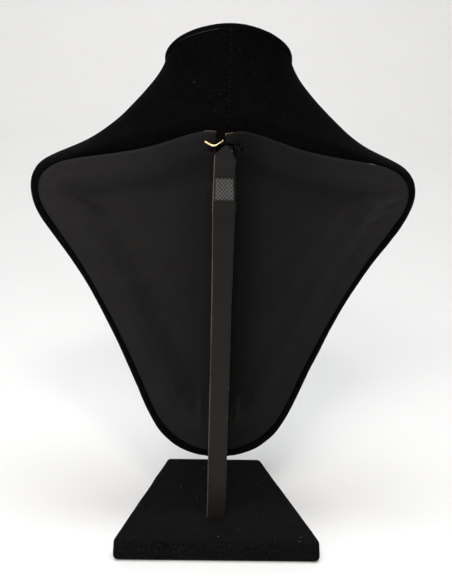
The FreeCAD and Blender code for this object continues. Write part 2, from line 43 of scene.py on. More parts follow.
rng = np.random.default_rng(7)


# ---------------------------------------------------------------- camera
def make_camera():
    pos = Vector((21.9, 796.1, 407.5)) * MM
    yaw, pitch, roll = math.radians(-1.84), math.radians(16.9), math.radians(1.53)
    cy, sy, cp, sp = math.cos(yaw), math.sin(yaw), math.cos(pitch), math.sin(pitch)
    fwd = Vector((sy * cp, -cy * cp, -sp))
    right = Vector((-cy, -sy, 0.0))
    up = right.cross(fwd)
    r2 = right * math.cos(roll) + up * math.sin(roll)
    u2 = -right * math.sin(roll) + up * math.cos(roll)
    cam = bpy.data.cameras.new("camera")
    cam.sensor_width = 36.0
    cam.sensor_fit = "AUTO"
    cam.lens = 1248.3 / 584.0 * 36.0
    cam.clip_start, cam.clip_end = 0.01, 20
    ob = bpy.data.objects.new("camera", cam)
    scene.collection.objects.link(ob)
    m = Matrix((r2, u2, -fwd)).transposed().to_4x4()
    m.translation = pos
    ob.matrix_world = m
    scene.camera = ob


make_camera()


# ---------------------------------------------------------------- mesh tools
def build(name, verts, faces, smooth=True):
    """Mesh object from millimetre points."""
    me = bpy.data.meshes.new(name)
    v = np.asarray(verts, float) * MM
    me.from_pydata([tuple(p) for p in v], [], [tuple(int(i) for i in f) for f in faces])
    me.validate()
    bm = bmesh.new()
    bm.from_mesh(me)
    bmesh.ops.recalc_face_normals(bm, faces=bm.faces)
    bm.to_mesh(me)
    bm.free()
    if smooth:
        me.polygons.foreach_set("use_smooth", [True] * len(me.polygons))
    me.update()
    ob = bpy.data.objects.new(name, me)
    scene.collection.objects.link(ob)
    return ob


def sweep(points, radii, sides=10, steps=6, flat=1.0):
    """Closed round tube along a smooth curve through the points."""
    p = np.asarray(points, float)
    r = np.broadcast_to(np.asarray(radii, float), (len(p),)).astype(float)
    ext = np.vstack([2 * p[0] - p[1], p, 2 * p[-1] - p[-2]])
    rr = np.concatenate([[r[0]], r, [r[-1]]])
    c, cr = [], []
    for i in range(1, len(ext) - 2):
        for k in range(steps):
            t = k / steps
            a, b, d, e = ext[i - 1], ext[i], ext[i + 1], ext[i + 2]
            c.append(0.5 * ((2 * b) + (d - a) * t + (2 * a - 5 * b + 4 * d - e) * t * t
                            + (3 * b - a - 3 * d + e) * t ** 3))
            cr.append(rr[i] * (1 - t) + rr[i + 1] * t)
    c.append(ext[-2])
    cr.append(rr[-2])
    c = np.array(c)
    cr = np.array(cr)
    tan = np.gradient(c, axis=0)
    tan /= np.linalg.norm(tan, axis=1)[:, None] + 1e-12
    up = np.array([0.0, 0, 1.0]) if abs(tan[0][2]) < 0.9 else np.array([1.0, 0, 0])
    verts, faces = [], []
    caps = [0.0, 0.45, 0.8, 0.95]
    rings = []
    for s in caps[::1]:
        rings.append((c[0] - tan[0] * cr[0] * math.sqrt(max(0, 1 - s * s)), tan[0], cr[0] * s))
    for i in range(len(c)):
        rings.append((c[i], tan[i], cr[i]))
    for s in caps[::-1]:
        rings.append((c[-1] + tan[-1] * cr[-1] * math.sqrt(max(0, 1 - s * s)), tan[-1], cr[-1] * s))
    for q, tg, rad in rings:
        side = np.cross(tg, up)
        side /= np.linalg.norm(side) + 1e-12
        up = np.cross(side, tg)
        for k in range(sides):
            a = 2 * math.pi * k / sides
            verts.append(q + (side * math.cos(a) + up * math.sin(a) * flat) * max(rad, 1e-3))
    n = len(rings)
    for i in range(n - 1):
        for k in range(sides):
            k2 = (k + 1) % sides
            faces.append((i * sides + k, i * sides + k2, (i + 1) * sides + k2, (i + 1) * sides + k))
    faces.append(tuple(range(sides - 1, -1, -1)))
    faces.append(tuple((n - 1) * sides + k for k in range(sides)))
    return verts, faces


def join_parts(parts):
    verts, faces = [], []
    for v, f in parts:
        o = len(verts)
        verts += [tuple(p) for p in v]
        faces += [tuple(i + o for i in q) for q in f]
    return verts, faces


def spline_through(xs, ys, xq):
    """Natural cubic through rows ys at xs, sampled at xq."""
    xs = np.asarray(xs, float)
    ys = np.asarray(ys, float)
    n = len(xs)
    hh = np.diff(xs)
    a = np.zeros((n, n))
    b = np.zeros((n,) + ys.shape[1:])
    a[0, 0] = a[-1, -1] = 1
    for i in range(1, n - 1):
        a[i, i - 1], a[i, i], a[i, i + 1] = hh[i - 1], 2 * (hh[i - 1] + hh[i]), hh[i]
        b[i] = 6 * ((ys[i + 1] - ys[i]) / hh[i] - (ys[i] - ys[i - 1]) / hh[i - 1])
    m = np.linalg.solve(a, b.reshape(n, -1)).reshape(b.shape)
    xq = np.asarray(xq, float)
    k = np.clip(np.searchsorted(xs, xq) - 1, 0, n - 2)
    h = hh[k]
    u = (xs[k + 1] - xq)
    w = (xq - xs[k])
    sh = (slice(None),) + (None,) * (ys.ndim - 1)
    u, w, h = u[sh], w[sh], h[sh]
    return (m[k] * u ** 3 + m[k + 1] * w ** 3) / (6 * h) + \
        (ys[k] / h - m[k] * h / 6) * u + (ys[k + 1] / h - m[k + 1] * h / 6) * w


def periodic_curve(points, n):
    """Closed cubic through the points, chord-length knots, n samples."""
    p = np.asarray(points, float)
    m = len(p)
    q = np.vstack([p, p[:1]])
    t = np.concatenate([[0], np.cumsum(np.linalg.norm(np.diff(q, axis=0), axis=1))])
    h = np.diff(t)
    a = np.zeros((m, m))
    b = np.zeros((m, 2))
    for i in range(m):
        hp, hn = h[i - 1], h[i]
        a[i, (i - 1) % m] += hp
        a[i, i] += 2 * (hp + hn)
        a[i, (i + 1) % m] += hn
        b[i] = 6 * ((p[(i + 1) % m] - p[i]) / hn - (p[i] - p[i - 1]) / hp)
    mm = np.linalg.solve(a, b)
    mm = np.vstack([mm, mm[:1]])
    s = np.linspace(0, t[-1], n, endpoint=False)
    k = np.clip(np.searchsorted(t, s, side="right") - 1, 0, m - 1)
    u, w, hk = (t[k + 1] - s)[:, None], (s - t[k])[:, None], h[k][:, None]
    return (mm[k] * u ** 3 + mm[k + 1] * w ** 3) / (6 * hk) + \
        (q[k] / hk - mm[k] * hk / 6) * u + (q[k + 1] / hk - mm[k + 1] * hk / 6) * w


def poly_distance(pts, poly):
    """Signed distance from points to a closed polygon, positive inside."""
    pts = np.asarray(pts, float)
    a = poly
    b = np.roll(poly, -1, axis=0)
    best = np.full(len(pts), 1e9)
    inside = np.zeros(len(pts), bool)
    for i in range(len(a)):
        d = b[i] - a[i]
        ll = d @ d
        if ll < 1e-12:
            continue
        t = np.clip(((pts - a[i]) @ d) / ll, 0, 1)
        e = pts - (a[i] + t[:, None] * d)
        best = np.minimum(best, np.hypot(e[:, 0], e[:, 1]))
        c = (a[i][1] > pts[:, 1]) != (b[i][1] > pts[:, 1])
        if c.any():
            xx = d[0] * (pts[:, 1] - a[i][1]) / (d[1] if abs(d[1]) > 1e-12 else 1e-12) + a[i][0]
            inside ^= c & (pts[:, 0] < xx)
    return np.where(inside, best, -best)


def fbm(p, scale, octaves=3, seed=0.0):
    v = Vector((p[0] * scale + seed, p[1] * scale + seed * 1.7, p[2] * scale - seed))
    out, amp = 0.0, 1.0
    for _ in range(octaves):
        out += amp * noise.noise(v)
        v = v * 2.03
        amp *= 0.5
    return out


# ---------------------------------------------------------------- materials
class Mat:
    def __init__(self, name):
        self.m = bpy.data.materials.new(name)
        self.m.use_nodes = True
        self.t = self.m.node_tree
        self.b = self.t.nodes["Principled BSDF"]
        self.tc = self.t.nodes.new("ShaderNodeTexCoord")

    def node(self, kind, **kw):
        n = self.t.nodes.new(kind)
        for k, v in kw.items():
            setattr(n, k, v)
        return n

    def link(self, a, b):
        self.t.links.new(a, b)

    def noise(self, scale, detail=4.0, rough=0.55, vec=None, dist=0.0):
        n = self.node("ShaderNodeTexNoise")
        n.inputs["Scale"].default_value = scale
        n.inputs["Detail"].default_value = detail
        n.inputs["Roughness"].default_value = rough
        n.inputs["Distortion"].default_value = dist
        self.link(vec or self.tc.outputs["Object"], n.inputs["Vector"])
        return n.outputs["Fac"]

    def voronoi(self, scale, feature="F1", vec=None, rand=1.0):
        n = self.node("ShaderNodeTexVoronoi", feature=feature)
        n.inputs["Scale"].default_value = scale
        n.inputs["Randomness"].default_value = rand
        self.link(vec or self.tc.outputs["Object"], n.inputs["Vector"])
        return n

    def ramp(self, fac, stops):
        n = self.node("ShaderNodeValToRGB")
        e = n.color_ramp.elements
        while len(e) < len(stops):
            e.new(0.5)
        for el, (pos, col) in zip(e, stops):
            el.position = pos
            el.color = (col[0], col[1], col[2], 1.0) if not isinstance(col, (int, float)) else (col, col, col, 1)
        self.link(fac, n.inputs["Fac"])
        return n.outputs["Color"]

    def math(self, op, a, b=None, c=None, clamp=False):
        n = self.node("ShaderNodeMath", operation=op)
        n.use_clamp = clamp
        for i, v in enumerate((a, b, c)):
            if v is None:
                continue
            if isinstance(v, (int, float)):
                n.inputs[i].default_value = v
            else:
                self.link(v, n.inputs[i])
        return n.outputs[0]

    def mix(self, fac, a, b, kind="MIX"):
        n = self.node("ShaderNodeMix", data_type="RGBA", blend_type=kind)
        for sock, v in ((n.inputs[0], fac), (n.inputs[6], a), (n.inputs[7], b)):
            if isinstance(v, (int, float)):
                sock.default_value = v
            elif isinstance(v, tuple):
                sock.default_value = (v[0], v[1], v[2], 1.0)
            else:
                self.link(v, sock)
        return n.outputs[2]

    def bump(self, height, strength, distance, normal=None):
        n = self.node("ShaderNodeBump")
        n.inputs["Strength"].default_value = strength
        n.inputs["Distance"].default_value = distance
        self.link(height, n.inputs["Height"])
        if normal is not None:
            self.link(normal, n.inputs["Normal"])
        return n.outputs["Normal"]

    def xyz(self):
        n = self.node("ShaderNodeSeparateXYZ")
        self.link(self.tc.outputs["Object"], n.inputs[0])
        return n.outputs

    def const(self, **kw):
        for k, v in kw.items():
            s = self.b.inputs[k.replace("_", " ")]
            s.default_value = (v[0], v[1], v[2], 1.0) if isinstance(v, tuple) else v


def velvet(name, dark, light, sheen, lint=0.16, dusty=0.0):
    """Black pile fabric: near-black body, brushed patches, nap sheen, lint."""
    m = Mat(name)
    brushed = m.noise(26.0, 3.0, 0.6, dist=0.6)
    fine = m.noise(1500.0, 3.0, 0.7)
    mid = m.noise(240.0, 4.0, 0.65)
    col = m.mix(m.ramp(brushed, [(0.36, 0.0), (0.66, 1.0)]), dark, light)
    col = m.mix(m.ramp(mid, [(0.35, 0.0), (0.8, 0.55)]), col, tuple(c * 1.9 for c in light))
    pile = m.noise(820.0, 2.0, 0.5)
    col = m.mix(m.ramp(pile, [(0.44, 0.0), (0.70, 0.50)]), col, tuple(c * 2.8 for c in light))
    # lint: short pale specks, thinly scattered
    v = m.voronoi(190.0)
    keep = m.ramp(v.outputs["Color"], [(0.80 - 0.16 * dusty, 0.0), (0.86 - 0.12 * dusty, 1.0)])
    spot = m.ramp(v.outputs["Distance"], [(0.06, 1.0), (0.12, 0.0)])
    area = m.ramp(m.noise(14.0, 2.0), [(0.40 - 0.14 * dusty, 0.0), (0.60 - 0.10 * dusty, 1.0)])
    k = m.math("MULTIPLY", keep, spot)
    k = m.math("MULTIPLY", k, area)
    v2 = m.voronoi(520.0)
    k2 = m.math("MULTIPLY", m.ramp(v2.outputs["Color"], [(0.90 - 0.22 * dusty, 0.0), (0.93 - 0.18 * dusty, 1.0)]),
                m.ramp(v2.outputs["Distance"], [(0.10, 0.8), (0.2, 0.0)]))
    k = m.math("MAXIMUM", k, m.math("MULTIPLY", k2, 0.5))
    col = m.mix(k, col, (lint, lint * 0.96, lint * 0.95))
    m.link(col, m.b.inputs["Base Color"])
    m.const(Roughness=0.95, Sheen_Weight=sheen, Sheen_Roughness=0.42, Sheen_Tint=(0.62, 0.60, 0.66))
    m.b.inputs["Specular IOR Level"].default_value = 0.03
    nrm = m.bump(fine, 0.55, 0.0004)
    nrm = m.bump(mid, 0.35, 0.0006, nrm)
    m.link(nrm, m.b.inputs["Normal"])
    return m.m


def leatherette(name, dark, light, rough=0.46, spec=0.42):
    """Thin coated fabric: satin, fine pebble grain, faint mottling, painted shade across the width."""
    m = Mat(name)
    big = m.noise(9.0, 4.0, 0.6, dist=0.4)
    mot = m.noise(75.0, 5.0, 0.62)
    col = m.mix(m.ramp(big, [(0.3, 0.0), (0.7, 1.0)]), dark, light)
    col = m.mix(m.ramp(mot, [(0.38, 0.0), (0.75, 0.45)]), col, tuple(c * 1.35 for c in light))
    # painted shade: darker towards the middle of the panel, deepest in a band just on the -x side of the strip
    # where the strut's shadow falls, lightest at the +x edge
    ax = m.math("MULTIPLY", m.math("ADD", m.xyz()[0], 0.12), 1.0 / 0.24)
    painted_shade_ramp = m.ramp(ax, [(0.04, 0.22), (0.20, 0.48), (0.38, 0.66), (0.428, 0.86), (0.466, 0.92),
                       (0.530, 0.58), (0.66, 0.36), (0.82, 0.14), (0.95, 0.0)])
    col = m.mix(painted_shade_ramp, col, tuple(c * 0.12 for c in dark))
    m.link(col, m.b.inputs["Base Color"])
    grain = m.voronoi(1150.0, "DISTANCE_TO_EDGE")
    g = m.ramp(grain.outputs["Distance"], [(0.0, 0.0), (0.22, 1.0)])
    fine = m.noise(2600.0, 3.0, 0.6)
    r = m.ramp(mot, [(0.3, rough - 0.05), (0.75, rough + 0.10)])
    m.link(r, m.b.inputs["Roughness"])
    m.b.inputs["Specular IOR Level"].default_value = spec
    nrm = m.bump(g, 0.22, 0.00022)
    nrm = m.bump(fine, 0.25, 0.00012, nrm)
    nrm = m.bump(m.noise(160.0, 3.0, 0.5), 0.35, 0.0009, nrm)
    m.link(nrm, m.b.inputs["Normal"])
    return m.m


def lattice_leather(name, dark, light):
    """Dark leatherette embossed with a fine diagonal lattice."""
    m = Mat(name)
    x, y, z = m.xyz()[0], m.xyz()[1], m.xyz()[2]
    wob = m.math("MULTIPLY", m.noise(120.0, 2.0), 0.0005)
    a = m.math("ADD", x, wob)
    b = m.math("SUBTRACT", z, wob)
    k = 2 * math.pi / 0.0024
    s = m.math("MULTIPLY", m.math("SINE", m.math("MULTIPLY", a, k)),
               m.math("SINE", m.math("MULTIPLY", b, k)))
    hgt = m.math("ADD", m.math("MULTIPLY", s, 0.5), 0.5)
    wear = m.noise(60.0, 5.0, 0.65)
    col = m.mix(m.ramp(wear, [(0.35, 0.0), (0.72, 1.0)]), dark, light)
    # painted shade in the lattice grooves and painted highlight on the raised diamonds
    col = m.mix(m.ramp(hgt, [(0.10, 0.62), (0.50, 0.0)]), col, tuple(c * 0.35 for c in dark))
    col = m.mix(m.ramp(hgt, [(0.50, 0.0), (0.95, 0.60)]), col, tuple(c * 2.0 for c in light))
    # lighter and browner towards the foot, where the light reaches it
    low = m.ramp(z, [(0.02, 1.0), (0.20, 0.0)])
    col = m.mix(m.math("MULTIPLY", low, 0.6), col, (light[0] * 1.9, light[1] * 1.6, light[2] * 1.4))
    m.link(col, m.b.inputs["Base Color"])
    m.link(m.mix(m.ramp(hgt, [(0.2, 0.0), (0.6, 1.0)]), (0.46, 0.46, 0.46), (0.30, 0.30, 0.30)), m.b.inputs["Roughness"])
    m.b.inputs["Specular IOR Level"].default_value = 0.125
    nrm = m.bump(hgt, 0.12, 0.00028)
    nrm = m.bump(m.noise(1800.0, 3.0), 0.12, 0.0001, nrm)
    nrm = m.bump(m.noise(90.0, 2.0), 0.2, 0.0010, nrm)
    m.link(nrm, m.b.inputs["Normal"])
    return m.m


def board_mat(name, a, b, fibre=380.0):
    """Raw board: fibrous, dry, uneven."""
    m = Mat(name)
    mp = m.node("ShaderNodeMapping")
    mp.inputs["Scale"].default_value = (1.0, 3.5, 1.0)
    m.link(m.tc.outputs["Object"], mp.inputs["Vector"])
    f = m.noise(fibre, 6.0, 0.7, vec=mp.outputs[0])
    p = m.noise(60.0, 3.0, 0.6)
    col = m.mix(m.ramp(f, [(0.3, 0.0), (0.72, 1.0)]), a, b)
    col = m.mix(m.ramp(p, [(0.45, 0.0), (0.8, 0.5)]), col, tuple(c * 0.55 for c in a))
    m.link(col, m.b.inputs["Base Color"])
    m.const(Roughness=0.9)
    m.link(m.bump(f, 0.5, 0.0004), m.b.inputs["Normal"])
    return m.m


def cut_edge_mat(name):
    """Frayed edge of the velvet: black, with a painted highlight along a run on the +x side where the edge catches
    the light.
    """
    m = Mat(name)
    f = m.noise(700.0, 4.0, 0.6)
    # painted highlight: lighter run on the +x side of the ring, broken up by noise
    x = m.math("ADD", m.math("MULTIPLY", m.xyz()[0], 10.0), 0.5)
    run = m.ramp(x, [(0.42, 0.03), (0.52, 0.12), (0.58, 0.75), (0.68, 1.0), (0.76, 0.7), (0.82, 0.08)])
    k = m.math("MULTIPLY", run, m.ramp(f, [(0.30, 0.45), (0.65, 1.0)]))
    m.link(m.mix(k, (0.0012, 0.0012, 0.0013), (0.034, 0.033, 0.035)), m.b.inputs["Base Color"])
    m.const(Roughness=0.9)
    m.b.inputs["Specular IOR Level"].default_value = 0.04
    m.link(m.bump(f, 0.5, 0.0003), m.b.inputs["Normal"])
    return m.m


def back_board_mat(name, a, b, raw):
    """Dark faced board; the raw brown core shows at the notch and at a few chips."""
    m = Mat(name)
    f = m.noise(420.0, 5.0, 0.65)
    x, y, z = m.xyz()[0], m.xyz()[1], m.xyz()[2]
    col = m.mix(m.ramp(f, [(0.3, 0.0), (0.72, 1.0)]), a, b)
    near = m.math("MULTIPLY", m.math("LESS_THAN", m.math("ABSOLUTE", m.math("SUBTRACT", x, 0.0045)), 0.0090),
                  m.math("GREATER_THAN", z, 0.2665))
    for cx, cz, r in ((-0.0850, 0.1790, 0.0042), (-0.0815, 0.1745, 0.0026), (-0.0925, 0.2575, 0.0022)):
        d = m.math("ADD", m.math("POWER", m.math("SUBTRACT", x, cx), 2.0),
                   m.math("POWER", m.math("SUBTRACT", z, cz), 2.0))
        near = m.math("MAXIMUM", near, m.math("LESS_THAN", d, r * r))
    rawc = m.mix(m.ramp(f, [(0.35, 0.0), (0.7, 1.0)]), raw, tuple(c * 0.45 for c in raw))
    m.link(m.mix(near, col, rawc), m.b.inputs["Base Color"])
    m.const(Roughness=0.85)
    m.b.inputs["Specular IOR Level"].default_value = 0.15
    m.link(m.bump(f, 0.5, 0.0004), m.b.inputs["Normal"])
    return m.m


def core_mat(name, a, b, black):
    """Core of the strip: dry tan edge, blackened tongue."""
    m = Mat(name)
    f = m.noise(520.0, 5.0, 0.65)
    run = m.noise(70.0, 3.0, 0.6)
    x, y, z = m.xyz()[0], m.xyz()[1], m.xyz()[2]
    col = m.mix(m.ramp(f, [(0.3, 0.0), (0.7, 1.0)]), a, b)
    col = m.mix(m.ramp(run, [(0.40, 0.0), (0.66, 0.85)]), col, tuple(c * 0.5 for c in a))
    tip = m.math("MAXIMUM", m.math("GREATER_THAN", z, 0.2662), m.math("LESS_THAN", y, 0.0175))
    m.link(m.mix(tip, col, black), m.b.inputs["Base Color"])
    m.const(Roughness=0.85)
    m.b.inputs["Specular IOR Level"].default_value = 0.12
    m.link(m.bump(f, 0.4, 0.0003), m.b.inputs["Normal"])
    return m.m


def metal(name, col, tarnish, rough):
    m = Mat(name)
    n = m.noise(420.0, 5.0, 0.6)
    m.link(m.mix(m.ramp(n, [(0.45, 0.0), (0.75, 1.0)]), col, tarnish), m.b.inputs["Base Color"])
    m.const(Metallic=1.0)
    m.link(m.ramp(n, [(0.3, rough), (0.8, rough + 0.22)]), m.b.inputs["Roughness"])
    m.link(m.bump(m.noise(2400.0, 2.0), 0.15, 0.0001), m.b.inputs["Normal"])
    return m.m


def cord_mat(name, col):
    """Braided elastic: fine diagonal ribs."""
    m = Mat(name)
    x, y, z = m.xyz()[0], m.xyz()[1], m.xyz()[2]
    k = 2 * math.pi / 0.0006
    s = m.math("SINE", m.math("MULTIPLY", m.math("ADD", m.math("ADD", x, z), y), k))
    n = m.noise(900.0, 3.0)
    m.link(m.mix(m.ramp(n, [(0.3, 0.0), (0.8, 1.0)]), col, tuple(c * 2.2 for c in col)), m.b.inputs["Base Color"])
    m.const(Roughness=0.34)
    m.b.inputs["Specular IOR Level"].default_value = 0.09
    m.link(m.bump(s, 0.5, 0.0002), m.b.inputs["Normal"])
    return m.m


def thread_mat(name, col):
    m = Mat(name)
    x, y, z = m.xyz()[0], m.xyz()[1], m.xyz()[2]
    s = m.math("SINE", m.math("MULTIPLY", m.math("ADD", x, z), 2 * math.pi / 0.0005))
    n = m.noise(1200.0, 3.0)
    m.link(m.mix(m.ramp(n, [(0.3, 0.0), (0.8, 1.0)]), col, tuple(c * 2.0 for c in col)), m.b.inputs["Base Color"])
    m.const(Roughness=0.8, Sheen_Weight=0.02)
    m.b.inputs["Specular IOR Level"].default_value = 0.06
    m.link(m.bump(s, 0.4, 0.0001), m.b.inputs["Normal"])
    return m.m


def plastic_mat(name, col):
    m = Mat(name)
    n = m.noise(700.0, 4.0, 0.6)
    m.link(m.mix(m.ramp(n, [(0.35, 0.0), (0.7, 1.0)]), col, tuple(c * 1.5 for c in col)), m.b.inputs["Base Color"])
    m.const(Roughness=0.7)
    m.b.inputs["Specular IOR Level"].default_value = 0.06
    m.link(m.bump(n, 0.3, 0.0002), m.b.inputs["Normal"])
    return m.m


M_VEL = velvet("velvet_bust", (0.0006, 0.0006, 0.0006), (0.0013, 0.0012, 0.0013), 0.004, 0.06, 0.25)
M_CUT = cut_edge_mat("velvet_edge")
M_VELB = velvet("velvet_base", (0.0018, 0.0018, 0.0019), (0.0036, 0.0035, 0.0037), 0.014, 0.10, 0.55)
M_LIN = leatherette("lining_leatherette", (0.0112, 0.0107, 0.0107), (0.0156, 0.0149, 0.0149), 0.56, 0.055)
M_STR = lattice_leather("strut_leatherette", (0.0050, 0.0046, 0.0044), (0.0088, 0.0078, 0.0072))
M_EDGE = board_mat("tan_strut_edge", (0.060, 0.050, 0.039), (0.125, 0.105, 0.080))
M_CORE = core_mat("strut_core_steel", (0.062, 0.053, 0.043), (0.125, 0.106, 0.082), (0.002, 0.002, 0.002))
M_BACK = back_board_mat("panel_board", (0.010, 0.0095, 0.009), (0.018, 0.017, 0.016), (0.26, 0.175, 0.105))
M_CARD = board_mat("raw_card", (0.24, 0.16, 0.095), (0.36, 0.26, 0.17))
M_WOOD = board_mat("fibreboard", (0.30, 0.20, 0.12), (0.42, 0.30, 0.19), 700.0)
M_UNDER = board_mat("under_card", (0.020, 0.020, 0.021), (0.040, 0.039, 0.040), 500.0)
M_BRASS = metal("brass_wire", (0.86, 0.66, 0.36), (0.50, 0.33, 0.13), 0.22)
M_CORD = cord_mat("elastic_cord", (0.0012, 0.0012, 0.0016))
M_THREAD = thread_mat("black_thread", (0.0046, 0.0045, 0.0047))
M_SHELL = plastic_mat("shell_plastic", (0.0035, 0.0035, 0.0035))

for node, mat in (("bust_shell", M_SHELL), ("neck_cap_card", M_CARD), ("back_board", M_BACK),
                  ("back_stiffener", M_WOOD), ("base_board", M_WOOD), ("base_under_sheet", M_UNDER),
                  ("strut_core", M_CORE), ("strut_facing_front", M_STR)):
    o = NODES[node]
    if not o.data.materials:
        o.data.materials.append(mat)
    for i in range(len(o.material_slots)):
        o.material_slots[i].material = mat


def finish_piece(ob, mat, body, cad):
    ob.data.materials.clear()
    ob.data.materials.append(mat)
    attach(ob, body)
    if cad:
        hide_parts(*([cad] if isinstance(cad, str) else cad))
    return ob


# ---------------------------------------------------------------- bust skin
# level, half width, widest y, back roundness, flat rim half, rear y, front y, front roundness
SEC = [
    (56.6, 8.5, 17.0, 4.0, 5.5, 0.0, 13.0, 2.0), (57.8, 14.0, 15.0, 4.0, 10.8, 0.0, 10.5, 2.0),
    (60.5, 22.5, 14.0, 4.5, 18.8, 0.0, 7.0, 2.1), (65.0, 30.0, 13.0, 5.0, 26.2, 0.0, 3.0, 2.1),
    (71.0, 36.6, 12.5, 5.0, 32.3, 0.0, -1.5, 2.1), (79.0, 42.2, 12.0, 5.0, 37.6, 0.0, -6.5, 2.1),
    (90.0, 47.8, 12.0, 5.0, 42.8, 0.0, -12.0, 2.1), (105.0, 53.9, 12.0, 5.0, 49.1, 0.0, -18.0, 2.1),
    (125.0, 62.3, 12.0, 5.0, 57.7, 0.0, -24.5, 2.1), (150.0, 73.3, 12.0, 5.0, 68.3, 0.0, -31.0, 2.1),
    (175.0, 86.4, 12.0, 5.0, 81.4, 0.0, -36.0, 2.15), (197.0, 100.2, 12.0, 5.0, 95.0, 0.0, -39.5, 2.2),
    (213.0, 111.6, 12.0, 5.0, 106.5, 0.0, -41.5, 2.25), (225.0, 118.5, 12.0, 4.8, 113.4, 0.0, -42.0, 2.3),
    (234.0, 121.2, 11.5, 4.6, 116.7, 0.0, -42.0, 2.3), (242.0, 121.4, 11.0, 4.2, 116.9, 0.0, -41.5, 2.3),
    (249.0, 119.1, 10.0, 3.6, 114.3, 0.0, -40.5, 2.3), (254.5, 113.3, 9.0, 3.0, 107.7, 0.0, -39.5, 2.25),
    (259.5, 102.4, 7.0, 2.7, 95.8, 0.0, -38.3, 2.2), (265.0, 90.2, 5.0, 2.5, 81.0, 0.0, -37.0, 2.15),
    (270.5, 80.9, 1.0, 2.4, 64.8, 0.0, -36.7, 2.0), (277.5, 71.7, -3.0, 2.3, 41.5, 0.0, -36.7, 1.9),
    (286.0, 62.4, -7.0, 2.2, 13.0, 0.0, -37.2, 1.8), (296.0, 52.9, -10.0, 2.1, 0.0, 20.2, -38.0, 1.8),
    (306.0, 45.0, -12.0, 1.95, 0.0, 18.0, -39.0, 1.95), (315.0, 40.0, -13.0, 1.85, 0.0, 17.0, -40.0, 2.1),
    (323.0, 38.3, -13.0, 1.82, 0.0, 16.8, -40.5, 2.2), (332.0, 37.8, -13.0, 1.82, 0.0, 17.2, -41.0, 2.2),
    (350.0, 37.8, -13.0, 1.82, 0.0, 18.0, -42.0, 2.2)]
OUTL = [
    (0.0, 61.5), (8.0, 62.1), (17.0, 65.0), (24.5, 69.4), (32.5, 76.2), (38.5, 84.0), (44.5, 95.6),
    (52.5, 115.0), (61.0, 134.5), (72.0, 157.4), (82.8, 178.0), (92.8, 195.0), (99.0, 204.5),
    (109.0, 219.6), (114.9, 230.0), (116.8, 239.0), (115.6, 245.6), (112.0, 250.6), (106.0, 254.6),
    (98.0, 257.4), (86.0, 259.6), (74.0, 261.4), (61.0, 263.6), (49.0, 266.2), (37.0, 270.0),
    (26.0, 273.8), (17.5, 276.3), (10.0, 277.5), (4.0, 276.6), (0.0, 275.9)]
OUT_ALL = OUTL + [(-x, z) for x, z in reversed(OUTL[1:-1])]
PANEL = periodic_curve(OUT_ALL, 900)
RIM_Y, SLANT = 22.5, math.radians(34.5)
NUP = np.array([0.0, -math.sin(SLANT), math.cos(SLANT)])
NECK = np.array([0.0, 19.0, 340.2])


def off_centre(z):
    """The neck stands a little to one side of the centre line."""
    t = np.clip((np.asarray(z, float) - 258.0) / 26.0, 0, 1)
    return -1.9 * t * t * (3 - 2 * t)


def section_points(row, d, dense=260):
    z, w, wy, nb, flat, rear, front, nf = row
    w = w + d
    rim = RIM_Y + d
    if flat > 0:
        q = min(0.985, (flat + d) / w)
        yb = wy + (rim - wy) / (1 - q ** nb) ** (1.0 / nb)
    else:
        yb = rear + d
    yf = front - d
    t = np.linspace(0, math.pi / 2, dense)
    c, s = np.cos(t), np.sin(t)
    back = np.stack([w * np.abs(s) ** (2 / nb), wy + (yb - wy) * np.abs(c) ** (2 / nb)], 1)
    fr = np.stack([w * np.abs(c) ** (2 / nf), wy - (wy - yf) * np.abs(s) ** (2 / nf)], 1)
    return np.vstack([back, fr[1:]])


def softmin(a, lim, k):
    h = np.clip(0.5 + 0.5 * (lim - a) / k, 0, 1)
    return a * h + lim * (1 - h) - k * h * (1 - h)


HALFN = 130
seam_cols = np.array([0.0, 0.35, 0.7, 1.1, 1.6, 2.3, 3.2, 4.4])


def skin_grid(d, levels):
    """Half sections resampled evenly, splined over height."""
    rows = []
    for row in SEC:
        p = section_points(row, d)
        L = np.concatenate([[0], np.cumsum(np.linalg.norm(np.diff(p, axis=0), axis=1))])
        s = np.concatenate([seam_cols, np.linspace(5.8, L[-1], HALFN - len(seam_cols))])
        rows.append(np.stack([np.interp(s, L, p[:, 0]), np.interp(s, L, p[:, 1])], 1))
    return spline_through([r[0] for r in SEC], np.array(rows), levels)


